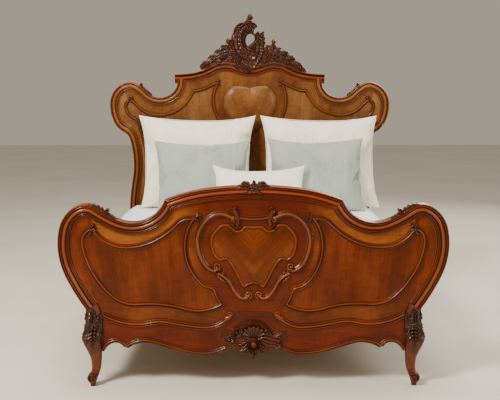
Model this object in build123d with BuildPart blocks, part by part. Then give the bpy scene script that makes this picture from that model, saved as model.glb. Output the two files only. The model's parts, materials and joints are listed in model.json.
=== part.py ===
"""Carved walnut double bed in the Louis XV manner, with its mattress, duvet and five pillows.

Millimetres, +Z up. The origin is on the floor under the middle of the bed. The foot of the bed is
towards -Y and its head towards +Y, so the footboard's show face looks along -Y. The two boards are
symmetrical about X = 0, apart from the carved crest and the carving on the apron.
"""

import os
from math import atan2, cos, degrees, radians, sin

from build123d import *

os.makedirs("parts", exist_ok=True)

# ---- Driving dimensions -------------------------------------------------------------------------
FACE_SPACING = 2040.0  # footboard panel's front face to headboard panel's front face
FOOT_FACE = -1018.0  # Y of the footboard panel's front face
HEAD_FACE = FOOT_FACE + FACE_SPACING
FOOT_PANEL = 26.0  # thickness of footboard panel and apron
HEAD_PANEL = 22.0  # thickness of headboard panel
CAP_WIDTH = 57.0  # width of the moulding that caps both boards
CAP_GROOVE = 12.0  # depth of the groove in the cap that holds the panel's edge
FOOT_CAP_FRONT = 14.0  # how far the footboard cap's core stands in front of the panel
FOOT_CAP_BACK = 46.0
HEAD_CAP_FRONT = 12.0
HEAD_CAP_BACK = 40.0
CAP_BEAD = 8.0  # extra height of the cap's middle band, on front and back
CAP_BEAD_SHARE = 0.72  # width of that middle band over the width of the cap
MOULDING_WIDTH = 15.0
MOULDING_HEIGHT = 12.0
SCROLL_HEIGHT = 14.0  # of the cartouche's carved scrolls
LEAF_HEIGHT = 8.0  # how far the small applied leaves stand proud
CORNICE_FRONT = 20.0  # how far the cornice stands in front of the headboard panel's face
CORNICE_LIP = 30.0  # height of the lip along the cornice's top
CORNICE_LIP_FRONT = 30.0
SHIELD_THICK = 8.0
SHIELD_BEVEL = 3.0
HEART_THICK = 14.0
CREST_FRONT = 52.0  # how far the crest stands in front of the headboard panel's face
CREST_DEPTH = 46.0
LEG_BACK = 54.0  # how far a front leg reaches behind the footboard panel's face
LEG_DEPTH = 70.0
POST_BACK = 46.0  # how far a headboard post and the cornice reach behind the panel's face
POST_DEPTH = 60.0
BATTEN_THICK = 18.0
BOTTOM_RAIL = (1400.0, 34.0, 175.0)  # size of the rail under the headboard panel
BOTTOM_RAIL_BACK = 30.0
RAIL_THICK = 28.0
RAIL_BOTTOM = 205.0
RAIL_TOP = 400.0
RAIL_OUTSIDE = 730.0  # X of a side rail's outside face
RAIL_INSIDE = RAIL_OUTSIDE - RAIL_THICK
SLAT_COUNT = 13
SLAT_PITCH = 146.0
SLAT_WIDTH = 80.0
SLAT_THICK = 18.0
SLAT_TOP = 330.0
BEAM_TOP = SLAT_TOP - SLAT_THICK
BEAM_HEIGHT = 60.0
BEAM_LEG_PLACES = (-330, 370)  # Y of the two legs under the centre beam
LEDGER = 30.0  # side of the square ledger strip
MATTRESS_WIDTH = 1380.0
MATTRESS_LENGTH = 1890.0
MATTRESS_THICK = 220.0
MATTRESS_GAP = 78.0  # from the footboard panel's front face to the mattress
DUVET_THICK = 24.0
DUVET_HALF_WIDTH = 800.0
DUVET_HEM = 420.0  # height of the duvet's lower edge beside the rails
DUVET_ROUND = 90.0  # radius of the duvet's bend over the mattress's side
DUVET_SHORTER = 10.0  # how much shorter than the mattress the duvet is
PILLOW_TILT = 20.0  # degrees the pillows lean back from upright

# ---- Outlines: (X, Z) of the right-hand half, joined by arcs that are tangent to each other -------
FOOT_ARCH = [(0, 910), (191, 899), (396, 846)]
FOOT_ARCH_HEADING = 0
FOOT_SIDE = [
    (396, 846), (455, 771), (602, 758), (700, 812), (790, 818),
    (867, 718), (871, 595), (839, 494), (750, 347),
]  # fmt: skip
FOOT_SIDE_HEADING = -71
FOOT_MITRE = (50, 46)  # direction of the mitre between the cap's arch and its sides
BASE_LINE = [
    (0, 325), (78, 325), (116, 309), (228, 266), (376, 288), (466, 288), (564, 284), (679, 323),
]  # fmt: skip
APRON_BRACKET = [(688, 150), (647, 193), (576, 170)]
APRON_WAVE = [(576, 170), (454, 193), (351, 162), (238, 139), (129, 163)]
APRON_BEAD = 14  # width of the bead along the apron's lower edge
APRON_CENTRE = 176  # height of the apron's lower edge behind its carving
HEAD_SIDE = [
    (450, 1345), (495, 1260), (562, 1239), (644, 1274), (710, 1324), (783, 1329), (873, 1213),
    (855, 1096), (787, 1022), (753, 981), (738, 727), (751, 638), (757, 420),
]  # fmt: skip
CORNICE_TOP = [(0, 1427), (77, 1443), (242, 1434), (361, 1393), (468, 1385)]
CORNICE_FOOT = [(0, 1372), (68, 1386), (157, 1403), (234, 1383), (401, 1329)]
CORNICE_END = (450, 1360)  # where the cornice's end sits on the horn's moulding
HEAD_PANEL_FOOT = 400  # height of the headboard panel's lower edge

# Field mouldings: each chain is (points, first heading in degrees).
WING_CHAINS = [
    ([(276, 760), (341, 738), (453, 658), (583, 633), (656, 654), (718, 712)], 9),
    ([(732, 713), (766, 652), (738, 550), (640, 414), (518, 373), (310, 352), (146, 372)], -25),
    ([(146, 372), (173, 428), (196, 449), (241, 472), (299, 699), (262, 765)], 52),
]
C_SCROLL = ([(78, 760), (135, 782), (203, 750), (249, 641), (217, 552), (169, 523)], 48)
S_SCROLL = ([(152, 507), (111, 479), (62, 405), (22, 409)], 186)
BRIDGE_SCROLL = ([(78, 790), (45, 773), (0, 767)], -112)
SHIELD = [
    (0, 730), (41, 730), (78, 711), (111, 739), (174, 711), (196, 640), (156, 568), (126, 572),
    (82, 508), (48, 447), (26, 455), (0, 464),
]  # fmt: skip
FIELD_CHAINS = [
    ([(743, 1228), (694, 1179), (591, 1131), (374, 1244), (351, 1281)], -134),
    ([(351, 1281), (273, 1301), (228, 1320)], 177),
    ([(764, 1215), (777, 1184), (724, 1110), (698, 1081), (661, 946), (646, 757), (655, 600)], -41),
]
BRACKET_CHAIN = ([(206, 1312), (228, 1215), (203, 1120), (160, 1020), (160, 600)], -62)
HEART = [(0, 1300), (100, 1313), (167, 1176), (122, 1101), (0, 985)]
HEART_HEADING = 20

PILLOWS = {  # width, height, thickness, X of the middle, Y of the lower edge
    "pillow_white_right": (725, 590, 160, 428, 750),
    "pillow_white_left": (725, 590, 160, -325, 750),
    "pillow_sage_right": (575, 455, 130, 395, 590),
    "pillow_sage_left": (585, 440, 130, -289, 590),
    "pillow_small": (547, 300, 110, 52, 459),
}


def upright(y):
    """Return the plane across the bed at depth y that faces the foot of the bed."""
    return Plane.XZ.offset(-y)


def arc_chain(points, heading):
    """Join the points by arcs, each tangent to the last; heading is the first tangent in degrees."""
    for start, end in zip(points, points[1:]):
        chord = degrees(atan2(end[1] - start[1], end[0] - start[0]))
        if abs((chord - heading + 180) % 360 - 180) < 0.5:
            Line(start, end)
        else:
            TangentArc(start, end, tangent=(cos(radians(heading)), sin(radians(heading))))
        heading = 2 * chord - heading


def keep(piece, label):
    """Label a finished piece and write it to its own file."""
    piece.part.label = label
    export_step(piece.part, f"parts/{label}.step")


def keep_pair(right, label):
    """Write a right-hand piece and its mirror image."""
    keep(right, f"{label}_right")
    with BuildPart() as left:
        mirror(right.part, about=Plane.YZ)
    keep(left, f"{label}_left")


def keep_mirrored(right, label):
    """Write a right-hand piece and its mirror image as one group of separate solids."""
    with BuildPart() as both:
        add(right.part)
        mirror(about=Plane.YZ)
    keep(both, label)


def applied_moulding(chains, face, width=MOULDING_WIDTH, height=MOULDING_HEIGHT, volutes=()):
    """Make a stepped strip that follows the chains, with round volutes (x, z, radius) on it."""
    with BuildPart() as strip:
        for share, back in ((1.0, face), (0.6, face - height / 2)):
            with BuildSketch(upright(back)):
                for points, heading in chains:
                    with BuildLine():
                        arc_chain(points, heading)
                    trace(line_width=width * share)
                for x, z, radius in volutes:
                    with Locations((x, z)):
                        Circle(radius * (1.0 if share == 1.0 else 0.7))
            extrude(amount=height / 2)
    return strip


def carved_block(outline, front, back):
    """Make a block of carving: a closed smooth outline between two depths."""
    with BuildPart() as block:
        with BuildSketch(upright(back)):
            with BuildLine():
                Spline(*outline, periodic=True)
            make_face()
        extrude(amount=back - front)
    return block


def cap(points, heading, outline, face, front, back):
    """Make a cap moulding inside an outline's edge: a core with a raised band on front and back."""
    shoulder = CAP_WIDTH * (1 - CAP_BEAD_SHARE) / 2
    with BuildPart() as moulding:
        for near, far, bead in ((0, CAP_WIDTH, 0), (shoulder, CAP_WIDTH - shoulder, CAP_BEAD)):
            with BuildSketch(upright(face + back + bead)):
                for distance, mode in ((far, Mode.ADD), (near, Mode.SUBTRACT)):
                    if distance > 0:
                        with BuildLine():
                            arc_chain(points, heading)
                        trace(line_width=2 * distance, mode=mode)
                add(outline, mode=Mode.INTERSECT)
            extrude(amount=front + back + 2 * bead)
    return moulding


# ---- Board outlines, as flat faces that cut the panels and caps -----------------------------------
corner_x, corner_z = FOOT_ARCH[-1]
with BuildSketch() as foot_outline:
    with BuildLine():
        arc_chain(FOOT_ARCH, FOOT_ARCH_HEADING)
        arc_chain(FOOT_SIDE, FOOT_SIDE_HEADING)
        Line(FOOT_SIDE[-1], BASE_LINE[-1])
        arc_chain(BASE_LINE, 0)
        Line(BASE_LINE[0], FOOT_ARCH[0])
    make_face()

with BuildSketch() as foot_side_outline:
    Polygon(
        (corner_x - 4 * FOOT_MITRE[0], corner_z - 4 * FOOT_MITRE[1]),
        (corner_x + 2 * FOOT_MITRE[0], corner_z + 2 * FOOT_MITRE[1]),
        (1000, 950),
        (1000, 300),
        (200, 300),
        align=None,
    )
    add(foot_outline.sketch, mode=Mode.INTERSECT)

with BuildSketch() as foot_arch_outline:
    add(foot_outline.sketch)
    add(foot_side_outline.sketch, mode=Mode.SUBTRACT)

with BuildSketch() as head_outline:
    with BuildLine():
        arc_chain(CORNICE_FOOT, 0)
        Polyline(CORNICE_FOOT[-1], CORNICE_END, HEAD_SIDE[0])
        arc_chain(HEAD_SIDE, -90)
        Polyline(
            HEAD_SIDE[-1], (HEAD_SIDE[-1][0], HEAD_PANEL_FOOT), (0, HEAD_PANEL_FOOT), CORNICE_FOOT[0]
        )
    make_face()

# ---- Footboard ----------------------------------------------------------------------------------
with BuildPart() as front_leg:
    with BuildSketch(upright(FOOT_FACE + LEG_BACK)):
        Polygon(
            (683, 254), (683, 323), (704, 380), (750, 347), (754, 300), (753, 254), align=None
        )
    extrude(amount=LEG_DEPTH)
    # Cabriole leg: height, X of the centre, Y of the centre behind the panel's face, side.
    for height, x, y, side in (
        (254, 718, 19, 68),
        (206, 729, -2, 82),
        (130, 715, 4, 54),
        (80, 716, 6, 42),
        (38, 731, -12, 52),
        (0, 725, -14, 26),
    ):
        with BuildSketch(Plane((x, FOOT_FACE + y, height))):
            RectangleRounded(side, side, side * 0.2)
    loft()

with BuildPart() as footboard_panel:
    with BuildSketch(upright(FOOT_FACE + FOOT_PANEL)):
        add(foot_outline.sketch)
        for points, heading in ((FOOT_ARCH, FOOT_ARCH_HEADING), (FOOT_SIDE, FOOT_SIDE_HEADING)):
            with BuildLine():
                arc_chain(points, heading)
            trace(line_width=2 * (CAP_WIDTH - CAP_GROOVE), mode=Mode.SUBTRACT)
    extrude(amount=FOOT_PANEL)
    add(front_leg.part, mode=Mode.SUBTRACT)
    mirror(about=Plane.YZ)
keep(footboard_panel, "footboard_panel")

with BuildPart() as footboard_apron:
    with BuildSketch(upright(FOOT_FACE + FOOT_PANEL)):
        with BuildLine():
            arc_chain(BASE_LINE, 0)
            Polyline(BASE_LINE[-1], (700, 323), (700, 150), APRON_BRACKET[0])
            arc_chain(APRON_BRACKET, 112)
            arc_chain(APRON_WAVE, 144)
            Polyline(
                APRON_WAVE[-1], (APRON_WAVE[-1][0] - 40, APRON_CENTRE), (0, APRON_CENTRE), BASE_LINE[0]
            )
        make_face()
    extrude(amount=FOOT_PANEL)
    add(front_leg.part, mode=Mode.SUBTRACT)
    mirror(about=Plane.YZ)
keep(footboard_apron, "footboard_apron")

arch = cap(
    FOOT_ARCH, FOOT_ARCH_HEADING, foot_arch_outline.sketch, FOOT_FACE, FOOT_CAP_FRONT, FOOT_CAP_BACK
)
with BuildPart() as footboard_cap_centre:
    add(arch.part)
    mirror(about=Plane.YZ)
    add(footboard_panel.part, mode=Mode.SUBTRACT)
keep(footboard_cap_centre, "footboard_cap_centre")

foot_side_cap = cap(
    FOOT_SIDE, FOOT_SIDE_HEADING, foot_side_outline.sketch, FOOT_FACE, FOOT_CAP_FRONT, FOOT_CAP_BACK
)
with BuildPart() as footboard_cap:
    add(foot_side_cap.part)
    add(footboard_panel.part, mode=Mode.SUBTRACT)
keep_pair(footboard_cap, "footboard_cap")

with BuildPart() as base_moulding:
    add(applied_moulding([(BASE_LINE, 0)], FOOT_FACE, width=20, height=14).part)
    add(front_leg.part, mode=Mode.SUBTRACT)
    mirror(about=Plane.YZ)
keep(base_moulding, "base_moulding")

raised_edge = [
    ([(x, z + APRON_BEAD / 2) for x, z in points], heading)
    for points, heading in ((APRON_BRACKET, 112), (APRON_WAVE, 144))
]
with BuildPart() as apron_edge_bead:
    add(applied_moulding(raised_edge, FOOT_FACE, width=APRON_BEAD, height=8).part)
    add(front_leg.part, mode=Mode.SUBTRACT)
    mirror(about=Plane.YZ)
keep(apron_edge_bead, "apron_edge_bead")

keep_pair(applied_moulding(WING_CHAINS, FOOT_FACE), "wing_moulding")
wing_leaf = applied_moulding(
    [], FOOT_FACE - MOULDING_HEIGHT, height=LEAF_HEIGHT, volutes=[(724, 711, 22), (259, 768, 20)]
)
keep_mirrored(wing_leaf, "wing_leaves")
c_scroll = applied_moulding(
    [C_SCROLL], FOOT_FACE, width=19, height=SCROLL_HEIGHT, volutes=[(84, 758, 15), (156, 537, 13)]
)
keep_pair(c_scroll, "c_scroll")
s_scroll = applied_moulding(
    [S_SCROLL], FOOT_FACE, width=16, height=SCROLL_HEIGHT, volutes=[(156, 509, 12), (22, 420, 13)]
)
keep_pair(s_scroll, "s_scroll")
half_bridge = applied_moulding(
    [BRIDGE_SCROLL], FOOT_FACE, width=14, height=SCROLL_HEIGHT, volutes=[(74, 800, 14)]
)
with BuildPart() as bridge_scroll:
    add(half_bridge.part)
    mirror(about=Plane.YZ)
keep(bridge_scroll, "bridge_scroll")

with BuildPart() as cartouche_shield:
    with BuildSketch(upright(FOOT_FACE)):
        with BuildLine():
            Line(SHIELD[0], SHIELD[1])
            Spline(*SHIELD[1:5])
            Spline(*SHIELD[4:7])
            Line(SHIELD[6], SHIELD[7])
            Spline(*SHIELD[7:10])
            Spline(*SHIELD[9:])
            Line(SHIELD[-1], SHIELD[0])
        make_face()
        mirror(about=Plane.YZ)
    extrude(amount=SHIELD_THICK)
    chamfer(cartouche_shield.faces().sort_by(Axis.Y)[0].edges(), SHIELD_BEVEL)
keep(cartouche_shield, "cartouche_shield")

foot_cap_crown = FOOT_FACE - FOOT_CAP_FRONT - CAP_BEAD
footboard_crest = carved_block(
    [(-77, 884), (-30, 922), (0, 930), (30, 922), (77, 884), (0, 874)],
    foot_cap_crown - 2 * LEAF_HEIGHT,
    foot_cap_crown,
)
keep(footboard_crest, "footboard_crest_carving")
foot_horn_leaf = carved_block(
    [(632, 778), (655, 800), (694, 822), (706, 812), (676, 790)],
    foot_cap_crown - LEAF_HEIGHT,
    foot_cap_crown,
)
keep_mirrored(foot_horn_leaf, "footboard_horn_leaves")
apron_carving = carved_block(
    [
        (0, 125), (46, 140), (80, 184), (147, 196), (120, 236), (70, 250), (40, 284),
        (-36, 286), (-80, 246), (-132, 222), (-104, 184), (-50, 150),
    ],  # fmt: skip
    FOOT_FACE - 36,
    FOOT_FACE,
)
keep(apron_carving, "apron_carving")

with BuildPart() as footboard_battens:
    with Locations((0, FOOT_FACE + FOOT_PANEL + BATTEN_THICK / 2, 470)):
        with GridLocations(660, 0, 2, 1):
            Box(60, BATTEN_THICK, 520)
keep(footboard_battens, "footboard_battens")

# ---- Headboard ----------------------------------------------------------------------------------
with BuildPart() as headboard_post:
    with BuildSketch(upright(HEAD_FACE + POST_BACK)):
        Polygon((700, 0), (757, 0), (757, 420), (700, 423), align=None)
    extrude(amount=POST_DEPTH)

with BuildPart() as headboard_panel:
    with BuildSketch(upright(HEAD_FACE + HEAD_PANEL)):
        add(head_outline.sketch)
        with BuildLine():
            Line(CORNICE_END, HEAD_SIDE[0])
            arc_chain(HEAD_SIDE, -90)
        trace(line_width=2 * (CAP_WIDTH - CAP_GROOVE), mode=Mode.SUBTRACT)
    extrude(amount=HEAD_PANEL)
    add(headboard_post.part, mode=Mode.SUBTRACT)
    mirror(about=Plane.YZ)
keep(headboard_panel, "headboard_panel")

head_side_cap = cap(
    [CORNICE_END, *HEAD_SIDE], -90, head_outline.sketch, HEAD_FACE, HEAD_CAP_FRONT, HEAD_CAP_BACK
)
with BuildPart() as headboard_cap:
    add(head_side_cap.part)
    add(headboard_post.part, mode=Mode.SUBTRACT)
    add(headboard_panel.part, mode=Mode.SUBTRACT)
keep_pair(headboard_cap, "headboard_cap")

with BuildPart() as headboard_cornice:
    with BuildSketch(upright(HEAD_FACE + POST_BACK)):
        with BuildLine():
            arc_chain(CORNICE_TOP, 0)
            Polyline(CORNICE_TOP[-1], (464, 1368), CORNICE_END, CORNICE_FOOT[-1])
            arc_chain(CORNICE_FOOT, 0)
            Line(CORNICE_FOOT[0], CORNICE_TOP[0])
        make_face()
    extrude(amount=POST_BACK + CORNICE_FRONT)
    with BuildSketch(upright(HEAD_FACE)):
        with BuildLine():
            arc_chain(CORNICE_TOP, 0)
        trace(line_width=2 * CORNICE_LIP)
        with BuildLine():
            arc_chain(CORNICE_TOP, 0)
            Polyline(CORNICE_TOP[-1], (464, 1300), (0, 1300), CORNICE_TOP[0])
        make_face(mode=Mode.INTERSECT)
    extrude(amount=CORNICE_LIP_FRONT)
    add(headboard_cap.part, mode=Mode.SUBTRACT)
    mirror(about=Plane.YZ)
keep(headboard_cornice, "headboard_cornice")

with BuildPart() as headboard_bottom_rail:
    with Locations((0, HEAD_FACE + BOTTOM_RAIL_BACK - BOTTOM_RAIL[1] / 2, 312.5)):
        Box(*BOTTOM_RAIL)
keep(headboard_bottom_rail, "headboard_bottom_rail")

with BuildPart() as headboard_heart:
    with BuildSketch(upright(HEAD_FACE)):
        with BuildLine():
            arc_chain(HEART, HEART_HEADING)
            Line(HEART[-1], HEART[0])
        make_face()
        mirror(about=Plane.YZ)
    extrude(amount=HEART_THICK)
keep(headboard_heart, "headboard_heart")

keep_pair(applied_moulding(FIELD_CHAINS, HEAD_FACE), "headboard_field_moulding")
keep_pair(
    applied_moulding([BRACKET_CHAIN], HEAD_FACE, volutes=[(198, 1330, 14)]), "headboard_bracket_moulding"
)
field_leaf = applied_moulding(
    [], HEAD_FACE - MOULDING_HEIGHT, height=LEAF_HEIGHT, volutes=[(753, 1220, 22)]
)
keep_mirrored(field_leaf, "headboard_field_leaves")
head_cap_crown = HEAD_FACE - HEAD_CAP_FRONT - CAP_BEAD
head_horn_leaf = carved_block(
    [(636, 1288), (652, 1312), (688, 1334), (698, 1326), (672, 1302)],
    head_cap_crown - LEAF_HEIGHT,
    head_cap_crown,
)
keep_mirrored(head_horn_leaf, "headboard_horn_leaves")

with BuildPart() as crest_carving:
    with BuildSketch(upright(HEAD_FACE - CREST_FRONT + CREST_DEPTH)):
        with BuildLine():
            Spline(
                (0, 1398), (-60, 1425), (-78, 1510), (-106, 1590), (-88, 1662), (-30, 1698), (38, 1686),
                (62, 1650), (94, 1646), (96, 1590), (84, 1500), (62, 1428),
                periodic=True,
            )  # fmt: skip
        make_face()
        with Locations((4, 1738)):
            Circle(19)
        with Locations((-4, 1706)):
            Rectangle(26, 50)
        with Locations((3, 1601)):
            Ellipse(24, 40, mode=Mode.SUBTRACT)
    extrude(amount=CREST_DEPTH)
    add(headboard_cornice.part, mode=Mode.SUBTRACT)
keep(crest_carving, "crest_carving")

left_spray = [
    (-20, 1460), (-84, 1545), (-118, 1572), (-133, 1606), (-150, 1572), (-190, 1515), (-250, 1465),
    (-311, 1433), (-311, 1414), (-200, 1436), (-100, 1432),
]  # fmt: skip
right_spray = [
    (20, 1460), (92, 1530), (132, 1562), (150, 1604), (168, 1566), (212, 1520), (262, 1462),
    (332, 1416), (330, 1398), (230, 1430), (100, 1432),
]  # fmt: skip
for label, outline in (("crest_spray_left", left_spray), ("crest_spray_right", right_spray)):
    rough_spray = carved_block(outline, HEAD_FACE - 40, HEAD_FACE - 8)
    with BuildPart() as crest_spray:
        add(rough_spray.part)
        add(headboard_cornice.part, mode=Mode.SUBTRACT)
        add(crest_carving.part, mode=Mode.SUBTRACT)
    keep(crest_spray, label)

with BuildPart() as headboard_battens:
    with Locations((0, HEAD_FACE + HEAD_PANEL + BATTEN_THICK / 2, 850)):
        with GridLocations(600, 0, 2, 1):
            Box(70, BATTEN_THICK, 900)
keep(headboard_battens, "headboard_battens")

# ---- Side rails, slats and the beam under them ----------------------------------------------------
rail_front = FOOT_FACE + LEG_BACK
rail_back = HEAD_FACE + POST_BACK - POST_DEPTH
rail_middle = (rail_front + rail_back) / 2
rail_half = (rail_back - rail_front) / 2
rail_edge = [(0, 236), (520, 226), (800, 208), (rail_half, RAIL_BOTTOM)]


def lengthways(x):
    """Return the plane along the bed at x, with the middle of the rails as its origin."""
    return Plane(origin=(x, rail_middle, 0), x_dir=(0, 1, 0), z_dir=(1, 0, 0))


with BuildPart() as side_rail:
    with BuildSketch(lengthways(RAIL_INSIDE)):
        with BuildLine():
            arc_chain(rail_edge, 0)
            Polyline(rail_edge[-1], (rail_half, RAIL_TOP), (0, RAIL_TOP), rail_edge[0])
        make_face()
        mirror(about=Plane.YZ)
    extrude(amount=RAIL_THICK)

with BuildPart() as rail_moulding:
    for width, height in ((14, 6), (8, 10)):
        with BuildSketch(lengthways(RAIL_OUTSIDE)):
            with BuildLine():
                arc_chain([(y, z + 10) for y, z in rail_edge], 0)
            trace(line_width=width)
            with Locations((rail_half / 2, RAIL_TOP - 12)):
                Rectangle(rail_half, width + 6)
            mirror(about=Plane.YZ)
        extrude(amount=height)
    add(headboard_post.part, mode=Mode.SUBTRACT)
    add(front_leg.part, mode=Mode.SUBTRACT)
keep_pair(rail_moulding, "rail_moulding")

# Hook plates: a steel plate let into each end of a rail's inside face, with two hooks that drop
# into slots in the leg or post.
HOOK_PLATE = (4, 90, 110)  # thickness, length along the rail, height
HOOK_REACH = 22
HOOK_HEIGHT = 24
SCREW_RADIUS = 2.5
with BuildPart() as hook_screws:
    for end, inward in ((rail_front, 1), (rail_back, -1)):
        for z in (265, 300, 335):
            with BuildSketch(Plane.YZ.offset(RAIL_INSIDE - 1.5)):
                with Locations((end + inward * 65, z)):
                    Circle(SCREW_RADIUS * 2)
            extrude(amount=1.5)
            with BuildSketch(Plane.YZ.offset(RAIL_INSIDE)):
                with Locations((end + inward * 65, z)):
                    Circle(SCREW_RADIUS)
            extrude(amount=20)
    mirror(about=Plane.YZ)

with BuildPart() as rail_hooks:
    for end, inward in ((rail_front, 1), (rail_back, -1)):
        with Locations((RAIL_INSIDE + HOOK_PLATE[0] / 2, end + inward * HOOK_PLATE[1] / 2, 300)):
            Box(*HOOK_PLATE)
        with Locations(
            (RAIL_INSIDE + HOOK_PLATE[0] / 2, end - inward * HOOK_REACH / 2, 275),
            (RAIL_INSIDE + HOOK_PLATE[0] / 2, end - inward * HOOK_REACH / 2, 325),
        ):
            Box(HOOK_PLATE[0], HOOK_REACH, HOOK_HEIGHT)
    mirror(about=Plane.YZ)
    add(hook_screws.part, mode=Mode.SUBTRACT)
keep(rail_hooks, "rail_hooks")
keep(hook_screws, "hook_screws")
with BuildPart() as side_rail_cut:
    add(side_rail.part)
    add(rail_hooks.part, mode=Mode.SUBTRACT)
    add(hook_screws.part, mode=Mode.SUBTRACT)
keep_pair(side_rail_cut, "side_rail")
for piece, label in ((front_leg, "front_leg"), (headboard_post, "headboard_post")):
    with BuildPart() as slotted:
        add(piece.part)
        add(rail_hooks.part, mode=Mode.SUBTRACT)
    keep_pair(slotted, label)

with BuildPart() as slat_ledger:
    with Locations((RAIL_INSIDE - LEDGER / 2, rail_middle, BEAM_TOP - LEDGER / 2)):
        Box(LEDGER, 2 * rail_half - 2 * HOOK_PLATE[1] - 20, LEDGER)
keep_pair(slat_ledger, "slat_ledger")

with BuildPart() as slats:
    with Locations((0, rail_middle, SLAT_TOP - SLAT_THICK / 2)):
        with GridLocations(0, SLAT_PITCH, 1, SLAT_COUNT):
            Box(2 * RAIL_INSIDE - 6, SLAT_WIDTH, SLAT_THICK)
keep(slats, "slats")

beam_front = FOOT_FACE + FOOT_PANEL
beam_back = HEAD_FACE - 4
with BuildPart() as centre_beam:
    with Locations((0, (beam_front + beam_back) / 2, BEAM_TOP - BEAM_HEIGHT / 2)):
        Box(60, beam_back - beam_front, BEAM_HEIGHT)
keep(centre_beam, "centre_beam")
with BuildPart() as beam_cleats:
    for low, high in ((beam_front, beam_front + 30), (beam_back - 30, beam_back)):
        with Locations((0, (low + high) / 2, BEAM_TOP - BEAM_HEIGHT - 15)):
            Box(110, high - low, 30)
keep(beam_cleats, "beam_cleats")
with BuildPart() as beam_legs:
    for y in BEAM_LEG_PLACES:
        with BuildSketch(Plane((0, y, 0))):
            RectangleRounded(42, 42, 4)
        with BuildSketch(Plane((0, y, BEAM_TOP - BEAM_HEIGHT))):
            RectangleRounded(56, 56, 4)
        loft()
keep(beam_legs, "beam_legs")

# ---- Bedding ------------------------------------------------------------------------------------
mattress_front = FOOT_FACE + MATTRESS_GAP
with BuildPart() as mattress:
    with BuildSketch(Plane((0, mattress_front + MATTRESS_LENGTH / 2, SLAT_TOP + 0.5))):
        RectangleRounded(MATTRESS_WIDTH, MATTRESS_LENGTH, 60)
    extrude(amount=MATTRESS_THICK)
    fillet(mattress.faces().filter_by(Axis.Z).edges(), 25)
keep(mattress, "mattress")

duvet_middle = SLAT_TOP + MATTRESS_THICK + 1.5 + DUVET_THICK / 2
duvet_side = DUVET_HALF_WIDTH - DUVET_THICK / 2
with BuildPart() as duvet:
    with BuildSketch(upright(mattress_front + MATTRESS_LENGTH - DUVET_SHORTER)):
        with BuildLine():
            Line((0, duvet_middle), (duvet_side - DUVET_ROUND, duvet_middle))
            TangentArc(
                (duvet_side - DUVET_ROUND, duvet_middle), (duvet_side, duvet_middle - DUVET_ROUND),
                tangent=(1, 0),
            )  # fmt: skip
            Line((duvet_side, duvet_middle - DUVET_ROUND), (duvet_side, DUVET_HEM))
        trace(line_width=DUVET_THICK)
        mirror(about=Plane.YZ)
    extrude(amount=MATTRESS_LENGTH - DUVET_SHORTER)
keep(duvet, "duvet")

pillow_foot = duvet_middle + DUVET_THICK / 2 + 1
lean = radians(PILLOW_TILT)
for label, (width, height, thickness, x, y) in PILLOWS.items():
    middle = Plane(origin=(x, y, pillow_foot), x_dir=(1, 0, 0), z_dir=(0, -cos(lean), sin(lean)))
    with BuildPart() as pillow:
        for face, inset in ((-1, thickness * 0.7), (0, 0), (1, thickness * 0.7)):
            with BuildSketch(middle.offset(face * thickness / 2)):
                with Locations((0, height / 2)):
                    RectangleRounded(width - 2 * inset, height - 2 * inset, 20)
        loft(ruled=True)
    keep(pillow, label)
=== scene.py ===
"""Looks of the carved walnut bed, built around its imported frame.

Metres, +Z up, foot of the bed towards -Y. Outlines and carvings are drawn in millimetres in the
plane of a board, as (x, z), with a height in front of the board's face.
"""

import json
from math import atan2, ceil, cos, degrees, hypot, pi, radians, sin

import bmesh
import bpy
import numpy as np
from mathutils.geometry import tessellate_polygon
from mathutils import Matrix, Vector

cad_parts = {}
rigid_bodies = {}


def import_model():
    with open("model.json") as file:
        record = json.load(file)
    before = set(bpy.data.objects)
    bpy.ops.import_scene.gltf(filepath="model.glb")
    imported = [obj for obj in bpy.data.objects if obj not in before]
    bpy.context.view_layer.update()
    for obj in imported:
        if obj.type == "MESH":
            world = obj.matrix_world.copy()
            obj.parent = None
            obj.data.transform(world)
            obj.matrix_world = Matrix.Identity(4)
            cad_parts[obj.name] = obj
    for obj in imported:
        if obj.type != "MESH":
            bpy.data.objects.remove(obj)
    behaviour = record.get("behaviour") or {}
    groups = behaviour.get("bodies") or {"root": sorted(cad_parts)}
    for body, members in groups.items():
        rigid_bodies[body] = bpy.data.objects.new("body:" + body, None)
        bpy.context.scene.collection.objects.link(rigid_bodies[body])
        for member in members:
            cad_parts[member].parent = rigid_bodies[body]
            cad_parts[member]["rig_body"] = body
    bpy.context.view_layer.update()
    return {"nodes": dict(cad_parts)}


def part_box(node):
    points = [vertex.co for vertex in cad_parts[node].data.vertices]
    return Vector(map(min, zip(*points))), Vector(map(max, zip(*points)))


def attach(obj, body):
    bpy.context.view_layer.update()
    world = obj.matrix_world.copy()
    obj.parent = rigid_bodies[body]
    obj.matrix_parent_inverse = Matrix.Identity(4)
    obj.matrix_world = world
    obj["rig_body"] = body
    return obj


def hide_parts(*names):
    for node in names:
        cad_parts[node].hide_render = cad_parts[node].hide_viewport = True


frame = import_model()

MM = 0.001
FOOT_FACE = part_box("footboard_panel")[0].y
HEAD_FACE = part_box("headboard_panel")[0].y
RAIL_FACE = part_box("side_rail_right")[1].x
BEDSTEAD = "bedstead"

# How straight an arc may be before it is drawn as a line, as half its turn in radians.
STRAIGHT = 0.005
# The back of what is laid on a board, as a height: just under the board's face, in millimetres.
SUNK = -0.3

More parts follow.
